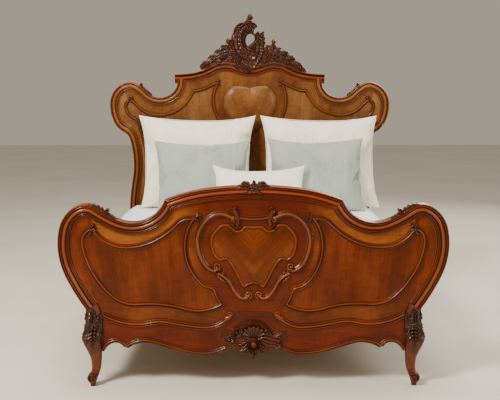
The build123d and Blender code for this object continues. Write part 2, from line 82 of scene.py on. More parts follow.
# ---- Outlines of the right-hand half --------------------------------------------------------------
# Most are points joined by arcs, with the first arc's heading in degrees. The scrolls and the shield
# are points on one smooth curve.
FOOT_ARCH = ([(0, 910), (191, 899), (396, 846)], 0)
FOOT_SIDE = (
    [(396, 846), (455, 771), (602, 758), (700, 812), (790, 818), (867, 718), (871, 595), (839, 494),
     (750, 347)],
    -71,
)
FOOT_MITRE = (50, 46)
BASE_LINE = (
    [(0, 325), (78, 325), (116, 309), (228, 266), (376, 288), (466, 288), (564, 284), (679, 323)],
    0,
)
APRON_EDGE = [
    ([(688, 150), (647, 193), (576, 170)], 112),
    ([(576, 170), (454, 193), (351, 162), (238, 139), (129, 163)], 144),
]
WING = [
    ([(276, 760), (341, 738), (453, 658), (583, 633), (656, 654), (718, 712)], 9),
    ([(732, 713), (766, 652), (738, 550), (640, 414), (518, 373), (310, 352), (146, 372)], -25),
    ([(146, 372), (173, 428), (196, 449), (241, 472), (299, 699), (262, 765)], 52),
]
C_SCROLL = [(92, 764), (135, 782), (180, 776), (222, 742), (249, 690), (250, 640), (238, 590),
            (214, 548), (182, 526), (160, 534)]
S_SCROLL = [(158, 512), (136, 500), (112, 478), (88, 436), (62, 405), (36, 402), (20, 418)]
SHIELD = [
    (0, 730), (41, 730), (60, 714), (78, 711), (92, 722), (111, 739), (146, 736), (174, 711),
    (194, 680), (196, 640), (183, 596), (156, 568), (126, 572), (104, 548), (82, 508), (64, 470),
    (48, 447), (36, 446), (26, 455), (0, 464),
]
HEAD_SIDE = (
    [(450, 1360), (450, 1345), (495, 1260), (562, 1239), (644, 1274), (710, 1324), (783, 1329),
     (873, 1213), (855, 1096), (787, 1022), (753, 981), (738, 727), (751, 638), (757, 420)],
    -90,
)
CORNICE = ([(0, 1427), (77, 1443), (242, 1434), (361, 1393), (468, 1385)], 0)
HEART = ([(0, 1300), (100, 1313), (128, 1301), (167, 1176), (122, 1101), (0, 985)], 20)
FIELD = [
    ([(743, 1228), (694, 1179), (591, 1131), (374, 1244), (351, 1281)], -134),
    ([(351, 1281), (273, 1301), (195, 1336)], 177),
]
FIELD_SIDE = ([(764, 1215), (777, 1184), (724, 1110), (698, 1081), (661, 946), (646, 757),
               (655, 600)], -41)
BRACKET = ([(203, 1320), (228, 1215), (203, 1120), (160, 1020), (160, 960)], -59)


# ---- Drawing in a board's plane -------------------------------------------------------------------
def arcs(chain, step=5.0):
    """Points along the arcs that join a chain's points, each arc tangent to the last."""
    points, heading = chain
    path = [points[0]]
    for (x0, z0), (x1, z1) in zip(points, points[1:]):
        chord = degrees(atan2(z1 - z0, x1 - x0))
        half_turn = radians((chord - heading + 180) % 360 - 180)
        length = hypot(x1 - x0, z1 - z0)
        count = max(1, ceil(length / step))
        first = radians(heading)
        for i in range(1, count + 1):
            if abs(half_turn) < STRAIGHT:
                path.append((x0 + (x1 - x0) * i / count, z0 + (z1 - z0) * i / count))
                continue
            radius = length / (2 * sin(half_turn))
            angle = first + 2 * half_turn * i / count
            x = x0 + radius * (sin(angle) - sin(first))
            z = z0 - radius * (cos(angle) - cos(first))
            path.append((x, z))
        heading += 2 * degrees(half_turn)
    return np.array(path, float)


def flowing(points, step):
    """Points along a smooth curve through the given points."""
    p = np.array(points, float)
    p = np.vstack([2 * p[0] - p[1], p, 2 * p[-1] - p[-2]])
    path = [p[1]]
    for a, b, c, d in zip(p, p[1:], p[2:], p[3:]):
        count = max(2, ceil(np.hypot(*(c - b)) / step))
        square = 2 * a - 5 * b + 4 * c - d
        cube = 3 * b - a - 3 * c + d
        for t in np.arange(1, count + 1) / count:
            path.append(0.5 * (2 * b + (c - a) * t + square * t**2 + cube * t**3))
    return np.array(path)


def both_halves(path):
    """A right-hand path that starts on the middle line, continued on its mirror image."""
    left = path[:0:-1] * (-1, 1)
    return np.vstack([left, path])


def on_board(face):
    """Placing of (x, z, height) in front of a board's face, as points in the frame."""

    def place(x, z, height):
        return np.stack([x * MM, face - height * MM, z * MM], -1)

    return place


def on_rail(x, z, height):
    """Placing of (distance along the rail, z, height) on the right rail's outside face."""
    return np.stack([RAIL_FACE + height * MM, x * MM, z * MM], -1)


# ---- Meshes ---------------------------------------------------------------------------------------
def piece(name, points, faces, material, grain=None, cavity=None, sharp=38, body=BEDSTEAD, slot=None):
    """Make a closed mesh object that rides on a body, with its grain direction and its hollows."""
    mesh = bpy.data.meshes.new(name)
    mesh.from_pydata(np.asarray(points, float).tolist(), [], [list(map(int, f)) for f in faces])
    if grain is not None:
        along = mesh.attributes.new("grain", "FLOAT_VECTOR", "POINT")
        along.data.foreach_set("vector", np.asarray(grain, np.float32).ravel())
    if cavity is not None:
        hollow = mesh.attributes.new("cavity", "FLOAT", "POINT")
        hollow.data.foreach_set("value", np.asarray(cavity, np.float32).ravel())
    work = bmesh.new()
    work.from_mesh(mesh)
    bmesh.ops.recalc_face_normals(work, faces=work.faces)
    work.to_mesh(mesh)
    work.free()
    mesh.shade_smooth()
    mesh.set_sharp_from_angle(angle=radians(sharp))
    mesh.materials.append(material)
    obj = bpy.data.objects.new(name, mesh)
    bpy.context.scene.collection.objects.link(obj)
    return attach(obj, body)


def mirrored(obj):
    """A copy of a right-hand piece, mirrored to the left side and named after it."""
    twin = obj.copy()
    twin.data = obj.data.copy()
    twin.name = obj.name.replace("_right", "_left")
    co = np.zeros(len(twin.data.vertices) * 3)
    twin.data.vertices.foreach_get("co", co)
    co[::3] *= -1
    twin.data.vertices.foreach_set("co", co)
    twin.data.flip_normals()
    bpy.context.scene.collection.objects.link(twin)
    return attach(twin, obj["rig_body"])


def pair(obj, node=None):
    """Mirror a right-hand piece. The two can replace a right and a left CAD node."""
    left = mirrored(obj)
    if node:
        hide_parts(f"{node}_right")
        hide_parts(f"{node}_left")


def run_length(points):
    """Distance along a run of points."""
    return np.concatenate([[0], np.cumsum(np.hypot(*np.diff(points, axis=0).T))])


def ring_faces(rings, count, closed=False):
    """Faces between rings of points. A closed run also joins its last ring to its first."""
    faces = []
    for i in range(rings if closed else rings - 1):
        n = (i + 1) % rings
        for j in range(count):
            k = (j + 1) % count
            faces.append((i * count + j, i * count + k, n * count + k, n * count + j))
    return faces


def swept(path, profile, place, cuts=(None, None)):
    """Vertices, faces, grain and hollows of a moulding: a closed profile swept along a path.

    The profile's points are (offset to the left of travel, height). A cut is the direction of a
    mitre at an end.
    """
    path = np.asarray(path, float)
    profile = np.asarray(profile, float)
    step = np.diff(path, axis=0)
    step /= np.hypot(*step.T)[:, None]
    side = np.stack([-step[:, 1], step[:, 0]], 1)
    before = np.vstack([side[:1], side])
    after = np.vstack([side, side[-1:]])
    lean = (before + after) / (1 + (before * after).sum(1))[:, None]
    for end, cut in zip((0, -1), cuts):
        if cut is not None:
            lean[end] = np.array(cut) / np.dot(cut, side[end])
    flat = path[:, None] + lean[:, None] * profile[None, :, :1]
    rings, count = len(path), len(profile)
    height = np.broadcast_to(profile[None, :, 1], (rings, count))
    points = place(flat[..., 0], flat[..., 1], height).reshape(-1, 3)
    faces = ring_faces(rings, count)
    faces += [tuple(range(count)), tuple(range((rings - 1) * count, rings * count))]
    along = np.broadcast_to(run_length(path)[:, None], (rings, count))
    across = np.broadcast_to(run_length(profile)[None], (rings, count))
    grain = np.stack([along, across, np.zeros_like(along)], -1).reshape(-1, 3) * MM
    # How far each profile point lies below its neighbours. The material darkens these hollows as painted
    # shade and old polish, and lightens the ridges as a painted highlight and wear.
    reach, deep = 6, 2.2
    kernel = np.exp(-(np.arange(-reach, reach + 1) / 3.0) ** 2)
    ends = np.pad(profile[:, 1], reach, mode="edge")
    hollow = np.convolve(ends, kernel / kernel.sum(), "valid") - profile[:, 1]
    hollow = np.where(profile[:, 1] < 0, 0, np.clip(hollow / deep, -1, 1))
    cavity = np.broadcast_to(hollow[None], (rings, count)).reshape(-1)
    return points, faces, grain, cavity


def join(parts):
    """Join the vertices, faces, grain and hollows of several shapes."""
    points, faces, grain, cavity, first = [], [], [], [], 0
    for shape in parts:
        points.append(shape[0])
        faces += [tuple(first + v for v in face) for face in shape[1]]
        grain.append(shape[2] + (first * 0.37, 0, 0))
        cavity.append(shape[3])
        first += len(shape[0])
    return np.vstack(points), faces, np.vstack(grain), np.concatenate(cavity)


def left_of(a, b):
    """The direction to the left of travel from a to b."""
    return np.array([-(b - a)[1], (b - a)[0]]) / np.hypot(*(b - a))


def inset(path, distance):
    """A path moved to the right of its travel, which is into the board for the horns."""
    step = np.gradient(path, axis=0)
    step /= np.hypot(*step.T)[:, None]
    return path + distance * np.stack([step[:, 1], -step[:, 0]], 1)


def strips(chains, profile, place, closed=False):
    """A moulding of several strips, mitred where one chain ends at the next chain's start."""
    paths = [arcs(chain) for chain in chains]
    shapes = []
    for i, path in enumerate(paths):
        cuts = [None, None]
        for end, other in ((0, i - 1), (1, i + 1)):
            if not closed and not 0 <= other < len(paths):
                continue
            near = paths[other % len(paths)]
            mine = left_of(path[0], path[1]) if end == 0 else left_of(path[-2], path[-1])
            its = left_of(near[-2], near[-1]) if end == 0 else left_of(near[0], near[1])
            cuts[end] = mine + its
        shapes.append(swept(path, profile, place, cuts))
    return join(shapes)


def rounded(*spans):
    """A profile's front line from spans: offset from and to, height from and to, and bulge."""
    line = []
    for start, end, low, high, bulge in spans:
        for t in np.linspace(0, 1, 3 if bulge == 0 else 9):
            height = low + (high - low) * t + bulge * sin(pi * t)
            line.append((start + (end - start) * t, height))
    return line


def cap_back(front, back, width):
    """The inner edge, rounded back and top of a cap's section."""
    turn_in = 9 - back
    inner = [(-width, 0.0), (-width, turn_in)]
    rear = [(-width / 2 + cos(a) * width * 0.47, turn_in - sin(a) * 14) for a in np.linspace(pi, 0, 13)]
    rise = front - turn_in - 10
    top = [(2.2 * sin(pi * t), turn_in + 3 + rise * t) for t in np.linspace(0, 0.98, 9)]
    return inner + rear[1:-1] + top


def cap_profile(front, back, width):
    """The cap's section from its outer edge inwards: bead, cove, broad half-round, fillets."""
    line = rounded(
        (0, -6, front - 6, front - 6, 5),
        (-6, -8, front - 9, front - 9, 0),
        (-8, -13.5, front - 6, front - 6, 4),
        (-13.5, -15.5, front - 9, front - 9, 0),
        (-15.5, -36, front - 8, front - 10, 9),
        (-36, -38.5, front - 14, front - 14, 0),
        (-38.5, -44, front - 11, front - 11, 4),
        (-44, -46, front - 14, front - 14, 0),
        (-46, -51, front - 13, front - 14, 3.5),
        (-51, -width, front - 17, 2.5, -2),
    )
    return line + cap_back(front, back, width)


def soft_cap_profile(front, back, width):
    """The headboard cap's calmer section: a thin reed, a broad half-round and a sloping fillet."""
    line = rounded(
        (0, -7, front - 6, front - 6, 4.5),
        (-7, -10, front - 7, front - 8, -1),
        (-10, -34, front - 8, front - 9, 9),
        (-34, -38, front - 11, front - 12, -1),
        (-38, -45, front - 11, front - 12, 2.5),
        (-45, -width, front - 15, 2.5, 2),
    )
    return line + cap_back(front, back, width)


def bedded(line, half_width):
    """A small moulding's closed section: its front line between two thin flanges on the board."""
    outside = half_width + 3
    flange = [(outside, SUNK), (outside, 1.7), (half_width + 0.3, 2.0)]
    return flange + line + [(-x, height) for x, height in flange[::-1]]


def bead_profile(width, height):
    """A small applied moulding: a bead between two stepped fillets, its corners darkened with painted shade
    and old polish.
    """
    w = width / 2
    line = rounded(
        (w, w * 0.78, height * 0.35, height * 0.5, 0),
        (w * 0.78, w * 0.42, height * 0.5, height * 0.55, -height * 0.14),
        (w * 0.42, -w * 0.5, height * 0.62, height * 0.62, height * 0.38),
        (-w * 0.5, -w * 0.8, height * 0.45, height * 0.4, -height * 0.1),
        (-w * 0.8, -w, height * 0.36, height * 0.2, 0),
    )
    return bedded(line, w)


def reeded_profile(width, height):
    """A moulding of a broad middle reed between two small ones."""
    w = width / 2
    line = rounded(
        (w, w * 0.6, height * 0.42, height * 0.5, height * 0.25),
        (w * 0.6, w * 0.5, height * 0.38, height * 0.4, 0),
        (w * 0.5, -w * 0.4, height * 0.6, height * 0.6, height * 0.4),
        (-w * 0.4, -w * 0.5, height * 0.4, height * 0.38, 0),
        (-w * 0.5, -w, height * 0.5, height * 0.42, height * 0.25),
    )
    return bedded(line, w)


def grain_field(points, angle, matched=False):
    """Grain coordinates in metres for flat wood whose grain runs at an angle from x, in degrees.

    Matched veneer has its grain mirrored about the middle line.
    """
    x = np.abs(points[:, 0]) if matched else points[:, 0]
    z = points[:, 1]
    turn = radians(angle)
    along = x * cos(turn) + z * sin(turn)
    across = z * cos(turn) - x * sin(turn)
    return np.stack([along, across, np.zeros_like(along)], 1) * MM


def plate(outline, place, front, grain_angle, back=SUNK):
    """A thin flat plate with a closed outline, such as a sheet of veneer."""
    outline = np.asarray(outline, float)
    count = len(outline)
    points = np.vstack([place(outline[:, 0], outline[:, 1], np.full(count, h)) for h in (back, front)])
    triangles = tessellate_polygon([[(x, z, 0.0) for x, z in outline]])
    faces = [tuple(t) for t in triangles] + [tuple(count + v for v in t) for t in triangles]
    faces += ring_faces(2, count)
    grain = grain_field(outline, grain_angle)
    return points, faces, np.vstack([grain, grain]), np.zeros(2 * count)


# ---- Carving --------------------------------------------------------------------------------------
class Carving:
    """Carved relief as heights over a fine (x, z) grid; below zero there is no wood."""

    def __init__(self, low, high, step=1.6):
        self.step = step
        self.low = np.array(low, float)
        self.x = np.arange(low[0], high[0] + step, step)
        self.z = np.arange(low[1], high[1] + step, step)
        self.height = np.full((len(self.z), len(self.x)), -3.0)

    def window(self, path, margin):
        """The part of the grid near a path, with its coordinates."""
        x0, z0 = path.min(0) - margin
        x1, z1 = path.max(0) + margin
        cols = slice(*np.searchsorted(self.x, (x0, x1)))
        rows = slice(*np.searchsorted(self.z, (z0, z1)))
        return rows, cols, *np.meshgrid(self.x[cols], self.z[rows])

    def lay(self, rows, cols, height):
        """Lay a carved form over what is there."""
        self.height[rows, cols] = np.maximum(self.height[rows, cols], height)

    def beside(self, path, margin):
        """For the grid near a path: share of the way along it, and signed distance from it."""
        rows, cols, gx, gz = self.window(path, margin)
        dx = gx.ravel()[:, None] - path[:, 0]
        dz = gz.ravel()[:, None] - path[:, 1]
        near = np.argmin(dx**2 + dz**2, axis=1)
        each = np.arange(len(near))
        dx, dz = dx[each, near], dz[each, near]
        way = np.gradient(path, axis=0)
        way /= np.hypot(*way.T)[:, None]
        across = way[near, 0] * dz - way[near, 1] * dx
        along = way[near, 0] * dx + way[near, 1] * dz
        past = ((near == 0) & (along < 0)) | ((near == len(path) - 1) & (along > 0))
        across = np.where(past, np.sign(across + 1e-9) * np.hypot(dx, dz), across)
        share = np.clip((near + along / self.step) / (len(path) - 1), 0, 1)
        return rows, cols, share.reshape(gx.shape), across.reshape(gx.shape)

    def band(self, points, width, height, ridges=1, taper=(1.0, 1.0), rise=0.0):
        """A rounded or grooved band along a curve."""
        path = flowing(points, self.step)
        rows, cols, s, t = self.beside(path, width)
        half = width / 2 * (taper[0] + (taper[1] - taper[0]) * s)
        r = np.abs(t) / half
        across = np.clip(t / half * 0.5 + 0.5, 0, 1)
        reeds = 0.5 + 0.5 * np.abs(np.sin(pi * ridges * across)) ** 0.7 if ridges > 1 else 1
        inside = 1 - r ** (6 if ridges > 1 else 3)
        body = inside * reeds * (1 + rise * s)
        self.lay(rows, cols, height * np.where(inside > 0, body, inside))

    def slab(self, points, height):
        """A low ground with a rounded edge, under the carving."""
        depth = self.distance(np.array(points, float))
        ground = np.where(depth > 0, height * (1 - np.exp(-depth / 4)), depth)
        self.height = np.maximum(self.height, ground)

    def scallop(self, points, width, height, flutes, taper):
        """A broad hollow shell along a curve, fluted across, with a scalloped edge on the left."""
        path = flowing(points, self.step)
        rows, cols, s, t = self.beside(path, width)
        wave = np.cos(2 * pi * flutes * s)
        half = width / 2 * (taper[0] + (taper[1] - taper[0]) * s)
        half = half * np.where(t > 0, 0.92 + 0.08 * wave, 1)
        r = np.abs(t) / half
        inside = 1 - r**8
        face = 0.42 + 0.58 * np.minimum(r, 1) ** 2.4 + 0.11 * wave * (0.3 + np.clip(t / half, 0, 1))
        self.lay(rows, cols, height * np.where(inside > 0, inside * face, inside))

    def leaf(self, points, width, height, lobes):
        """A curling acanthus leaf along a curve, with lobes, a middle vein and a hollow face."""
        cup = 0.45
        path = flowing(points, self.step)
        rows, cols, s, t = self.beside(path, width)
        body = np.sin(pi * np.clip(s * 0.92 + 0.06, 0, 1) ** 0.8) ** 0.7
        lobe = (lobes * s) % 1
        half = width / 2 * body * (0.66 + 0.34 * np.sin(pi * lobe**0.7)) + 0.4
        r = np.abs(t) / half
        inside = 1 - r**3
        face = 1 - cup + cup * np.minimum(r, 1) ** 2
        veins = 0.5 + 0.5 * np.cos(2 * pi * (lobe - 0.4 * r))
        face = face - 0.25 * np.exp(-((t / 2.0) ** 2)) - 0.26 * r * veins
        swell = 0.45 + 0.55 * np.sin(pi * (0.2 + 0.7 * s))
        self.lay(rows, cols, height * np.where(inside > 0, inside * face * swell, inside))

    def leaves(self, *rows):
        """Several leaves, each given as its points, width, height and number of lobes."""
        for row in rows:
            self.leaf(*row)

    def volute(self, centre, radius, height, turns, start, hand, width=None):
        """A scroll that winds in to a button."""
        u = np.linspace(0, 1, 40)
        angle = start + hand * 2 * pi * turns * u
        reach = radius * (0.82 - 0.66 * u)
        spiral = np.stack([centre[0] + reach * np.cos(angle), centre[1] + reach * np.sin(angle)], 1)
        self.band(spiral[::3], width or radius * 0.52, height * 0.8, rise=0.25)
        self.button(centre, radius * 0.3, height)

    def around(self, centre, reach):
        """The part of the grid around a centre, with its coordinates measured from there."""
        rows, cols, gx, gz = self.window(np.array([centre], float), reach)
        return rows, cols, gx - centre[0], gz - centre[1]

    def button(self, centre, radius, height, squeeze=1.0):
        """A round or oval boss."""
        rows, cols, dx, dz = self.around(centre, radius * 1.8)
        r2 = (dx / radius) ** 2 + (dz / (radius * squeeze)) ** 2
        self.lay(rows, cols, height * np.where(r2 < 1, np.sqrt(np.maximum(1 - r2, 0)), 1 - r2))

    def flower(self, centre, radius, height, petals, turn=0.0):
        """An open flower with cupped petals round a button."""
        rows, cols, dx, dz = self.around(centre, radius * 1.6)
        r = np.hypot(dx, dz)
        petal = np.abs(np.cos(petals / 2 * (np.arctan2(dz, dx) - turn)))
        edge = radius * (0.72 + 0.28 * petal**0.6)
        inside = 1 - (r / edge) ** 3
        cupped = 0.45 + 0.4 * (r / edge) - 0.35 * (1 - petal) ** 2
        self.lay(rows, cols, height * np.where(inside > 0, inside * cupped, inside))
        self.button(centre, radius * 0.26, height * 0.85)

    def fan(self, centre, radius, height, low, high, flutes):
        """A fluted shell that opens from low to high, in degrees."""
        rows, cols, dx, dz = self.around(centre, radius * 1.3)
        r = np.hypot(dx, dz) / radius
        middle, spread = radians((low + high) / 2), radians((high - low) / 2)
        turn = (np.arctan2(dz, dx) - middle + pi) % (2 * pi) - pi
        flute = 0.5 + 0.5 * np.cos(turn / spread * pi * flutes)
        inside = np.minimum(1 - (r / (0.9 + 0.1 * flute)) ** 4, (spread * 1.02 - np.abs(turn)) * r * 4)
        ribs = (0.4 + 0.6 * r) * (0.72 + 0.28 * flute)
        self.lay(rows, cols, height * np.where(inside > 0, np.minimum(inside * 2, 1) * ribs, inside))

    def pierce(self, outline):
        """Cut a hole with a closed outline through the carving."""
        self.height = np.minimum(self.height, -0.9 * self.distance(outline))

    def hollows(self):
        """How far each point lies below the carving around it, -1 on ridges to 1 in hollows."""
        blurred = np.maximum(self.height, -1.0)
        kernel = np.exp(-(np.arange(-5, 6) / 2.6) ** 2)
        kernel /= kernel.sum()
        for axis in (0, 1):
            blurred = np.apply_along_axis(np.convolve, axis, blurred, kernel, "same")
        deep = 1.6
        return np.clip((blurred - self.height) / deep, -1, 1)

    def distance(self, outline):
        """Distance of each grid point from a closed outline, positive inside it."""
        gx, gz = np.meshgrid(self.x, self.z)
        low, high = outline, np.roll(outline, -1, axis=0)
        best = np.full(gx.shape, 1e9)
        inside = np.zeros(gx.shape, bool)
        for (x0, z0), (x1, z1) in zip(low, high):
            dx, dz = x1 - x0, z1 - z0
            share = np.clip(((gx - x0) * dx + (gz - z0) * dz) / max(dx * dx + dz * dz, 1e-9), 0, 1)
            best = np.minimum(best, np.hypot(gx - x0 - share * dx, gz - z0 - share * dz))
            if z0 != z1:
                inside ^= ((z0 > gz) != (z1 > gz)) & (gx < x0 + (gz - z0) * dx / dz)
        return np.where(inside, best, -best)

    def shape(self, place, edge=1.5, back=0.0, back_relief=0.0, grain_angle=90.0, matched=False):
        """Vertices, faces, grain and hollows of the carving as a closed solid."""
        gx, gz = np.meshgrid(self.x, self.z)
        rows, cols = gx.shape
        ids = np.arange(rows * cols).reshape(rows, cols)
        h = self.height
        near = np.maximum.reduce([h[:-1, :-1], h[1:, :-1], h[:-1, 1:], h[1:, 1:]]) > 0
        quads = np.stack([ids[:-1, :-1], ids[:-1, 1:], ids[1:, 1:], ids[1:, :-1]], -1)[near]
        work = bmesh.new()
        verts = {}
        flat = np.stack([gx, gz, h], -1).reshape(-1, 3)
        for v in np.unique(quads):
            verts[v] = work.verts.new(flat[v])
        for quad in quads:
            work.faces.new([verts[v] for v in quad])
        geometry = work.verts[:] + work.edges[:] + work.faces[:]
        plane = {"plane_co": (0, 0, 0), "plane_no": (0, 0, 1)}
        bmesh.ops.bisect_plane(work, geom=geometry, clear_inner=True, dist=1e-5, **plane)
        work.verts.index_update()
        co = np.array([v.co for v in work.verts])
        faces = [tuple(v.index for v in f.verts) for f in work.faces]
        rim = [tuple(v.index for v in e.verts) for e in work.edges if len(e.link_faces) == 1]
        work.free()
        height = np.maximum(co[:, 2], 0)
        # The relief's hollows are darkened as painted shade and old polish, and its ridges lightened as a
        # painted highlight and wear.
        hollow = self.sample(self.hollows(), co)
        count = len(co)
        front = place(co[:, 0], co[:, 1], edge + height)
        behind = place(co[:, 0], co[:, 1], back - back_relief * height)
        faces += [tuple(count + v for v in f[::-1]) for f in faces]
        faces += [(a, b, count + b, count + a) for a, b in rim]
        grain = grain_field(co, grain_angle, matched)
        # The back is darkened a little and evenly, by the same painted shade and old polish as the hollows.
        cavity = np.concatenate([hollow, np.full(count, 0.2)])
        return np.vstack([front, behind]), faces, np.vstack([grain, grain]), cavity

    def sample(self, grid, points):
        """Values of a grid at (x, z) points."""
        u = np.clip((points[:, 0] - self.x[0]) / self.step, 0, len(self.x) - 1.001)
        v = np.clip((points[:, 1] - self.z[0]) / self.step, 0, len(self.z) - 1.001)
        i, j = u.astype(int), v.astype(int)
        fu, fv = u - i, v - j
        low = grid[j, i] * (1 - fu) + grid[j, i + 1] * fu
        high = grid[j + 1, i] * (1 - fu) + grid[j + 1, i + 1] * fu
        return low * (1 - fv) + high * fv


# ---- Materials ------------------------------------------------------------------------------------
def linear(red, green, blue):
    """A colour given as 0-255 screen values, as linear light."""
    return [((c / 255 + 0.055) / 1.055) ** 2.4 if c > 10 else c / 3295 for c in (red, green, blue)] + [1]


# Numbers of a texture coordinate node's and an attribute node's outputs.
OBJECT_SPACE = 3
ATTRIBUTE_VECTOR = 1
ATTRIBUTE_VALUE = 2


class Tree:
    """A material's node tree, built one node at a time."""

    def __init__(self, name, **settings):
        self.material = bpy.data.materials.new(name)
        self.material.use_nodes = True
        self.tree = self.material.node_tree
        self.shader = self.tree.nodes["Principled BSDF"]
        self.fill(self.shader, settings)

    def fill(self, node, inputs):
        """Link or set a node's inputs, given by name or by number."""
        for key, value in inputs.items():
            socket = node.inputs[key if isinstance(key, int) else key.replace("_", " ")]
            if isinstance(value, bpy.types.NodeSocket):
                self.tree.links.new(value, socket)
            else:
                socket.default_value = value

    def node(self, kind, inputs, output=0, **settings):
        """Add a node and return one of its outputs."""
        made = self.tree.nodes.new("ShaderNode" + kind)
        for key, value in settings.items():
            setattr(made, key, value)
        self.fill(made, inputs)
        return made.outputs[output]

    def noise(self, vector, scale, detail=3.0, roughness=0.55):
        """Noise over a stretched space: scale is how many features there are to a metre each way."""
        stretched = self.node("Mapping", {"Vector": vector, "Scale": scale})
        inputs = {"Vector": stretched, "Scale": 1.0, "Detail": detail, "Roughness": roughness}
        return self.node("TexNoise", inputs)

    def math(self, operation, a, b):
        """One sum on two values."""
        return self.node("Math", {0: a, 1: b}, operation=operation)

    def spread(self, value, low, high, at_low, at_high):
        """A value that goes from at_low to at_high as another goes from low to high."""
        limits = {"From Min": low, "From Max": high, "To Min": at_low, "To Max": at_high}
        return self.node("MapRange", {"Value": value, **limits})

    def mix(self, factor, a, b, blend="MIX"):
        """Two colours mixed by a factor."""
        made = self.tree.nodes.new("ShaderNodeMix")
        made.data_type = "RGBA"
        made.blend_type = blend
        made.clamp_factor = True
        self.fill(made, {0: factor, 6: a, 7: b})
        return made.outputs[2]

    def ramp(self, factor, stops):
        """A colour from a value, by (position, colour) stops."""
        made = self.tree.nodes.new("ShaderNodeValToRGB")
        elements = made.color_ramp.elements
        while len(elements) < len(stops):
            elements.new(0.5)
        for element, (position, colour) in zip(elements, stops):
            element.position = position
            element.color = colour
        self.fill(made, {0: factor})
        return made.outputs[0]


def wood(name, dark, middle, light, turn=None, curl=0.25, polish=0.1, wear_and_highlight=0.3, recess=0.92,
         redder=None, satin=0.12):
    """Polished wood, from three 0-255 colours.

    Its grain follows the piece's grain map, or turn, which brings the CAD solid's grain direction to
    x. Recess is how far its hollows are darkened towards near-black, as painted shade and old dark
    polish, and worn how far its ridges are lightened, as a painted highlight and rubbed wear. Redder
    is a tint for the board's middle, and satin the roughness of the polish.
    """
    t = Tree(name, Coat_Weight=polish, Coat_Roughness=satin, Coat_IOR=1.45, IOR=1.45)
    t.shader.inputs["Specular IOR Level"].default_value = 0.3
    t.shader.inputs["Specular Tint"].default_value = (1.0, 0.8, 0.58, 1.0)
    if turn is None:
        space = t.node("Attribute", {}, ATTRIBUTE_VECTOR, attribute_name="grain")
    else:
        here = t.node("TexCoord", {}, OBJECT_SPACE)
        space = t.node("Mapping", {"Vector": here, "Rotation": [radians(a) for a in turn]})
    drift = t.noise(space, (1.6, 5.0, 5.0), 2.0)
    drift = t.node("VectorMath", {0: drift, 1: (0.0, 0.05, 0.05)}, operation="MULTIPLY")
    space = t.node("VectorMath", {0: space, 1: drift}, operation="ADD")
    bands = t.noise(space, (1.3, 22.0, 22.0), 4.0, 0.6)
    fibres = t.noise(space, (8.0, 190.0, 190.0), 5.0, 0.65)
    figure = t.noise(space, (60.0, 18.0, 18.0), 4.0, 0.6)
    clouds = t.noise(space, (4.0, 6.0, 6.0), 3.0, 0.5)
    pores = t.noise(space, (55.0, 1100.0, 1100.0), 2.0, 0.5)
    grain = t.math("MULTIPLY", t.math("ADD", bands, fibres), 0.3 - curl * 0.15)
    tone = t.math("ADD", grain, t.math("MULTIPLY", clouds, 0.4))
    tone = t.math("ADD", tone, t.math("MULTIPLY", figure, curl * 0.4))
    colour = t.ramp(tone, [(0.38, linear(*dark)), (0.5, linear(*middle)), (0.62, linear(*light))])
    open_pores = t.spread(pores, 0.56, 0.72, 0.0, 0.5)
    colour = t.mix(open_pores, colour, t.mix(0.72, colour, linear(24, 8, 3)))
    # The cavity attribute paints light and shade: hollows darken as painted shade and old polish, ridges
    # lighten as a painted highlight and wear.
    cavity = t.node("Attribute", {}, ATTRIBUTE_VALUE, attribute_name="cavity")
    hollow = t.spread(cavity, 0.0, 0.6, 0.0, recess)
    ridge = t.spread(cavity, -0.1, -0.9, 0.0, wear_and_highlight)
    # Ridges turn a lighter colour: a painted highlight, with some rubbed wear.
    colour = t.mix(ridge, colour, linear(*(min(255, c * 1.2 + 6) for c in light)))
    # Hollows turn near-black: painted shade, with some old dark polish.
    colour = t.mix(hollow, colour, linear(16, 5, 2))
    gloss = t.spread(tone, 0.3, 0.7, 0.42, 0.3)
    bump = t.math("SUBTRACT", t.math("MULTIPLY", fibres, 0.4), open_pores)
    normal = t.node("Bump", {"Strength": 0.35, "Distance": 0.0004, "Height": bump})
    if redder:
        apart = t.math("ABSOLUTE", t.node("SeparateXYZ", {0: t.node("TexCoord", {}, OBJECT_SPACE)}), 0)
        middle_share = t.spread(apart, 0.22, 0.4, 1.0, 0.0)
        colour = t.mix(middle_share, colour, t.mix(1.0, colour, redder, "MULTIPLY"))
    t.fill(t.shader, {"Base Color": colour, "Roughness": gloss, "Normal": normal})
    return t.material


def cloth(name, colour, shade, slub=0.5, crease=0.5, sheen=0.25, depth=0.0016):
    """Woven cloth with uneven threads both ways and soft creases."""
    t = Tree(name, Sheen_Weight=sheen, Sheen_Roughness=0.5, Roughness=0.9, IOR=1.4)
    t.shader.inputs["Specular IOR Level"].default_value = 0.25
    here = t.node("TexCoord", {}, OBJECT_SPACE)
    warp = t.noise(here, (620.0, 45.0, 38.0), 3.0, 0.6)
    weft = t.noise(here, (40.0, 560.0, 620.0), 3.0, 0.6)
    patches = t.noise(here, (9.0, 9.0, 9.0), 3.0, 0.5)
    threads = t.math("MULTIPLY", t.math("ADD", warp, weft), 0.5)
    tone = t.math("ADD", t.math("MULTIPLY", threads, slub), t.math("MULTIPLY", patches, 1 - slub))
    base = t.ramp(tone, [(0.34, linear(*shade)), (0.62, linear(*colour))])
    folds = t.noise(here, (14.0, 14.0, 7.0), 3.0, 0.5)
    ripples = t.noise(here, (85.0, 30.0, 7.0), 2.0, 0.5)
    height = t.math("ADD", threads, t.math("MULTIPLY", t.math("ADD", folds, ripples), crease * 5))
    normal = t.node("Bump", {"Strength": 0.5, "Distance": depth, "Height": height})
    t.fill(t.shader, {"Base Color": base, "Normal": normal})
    return t.material


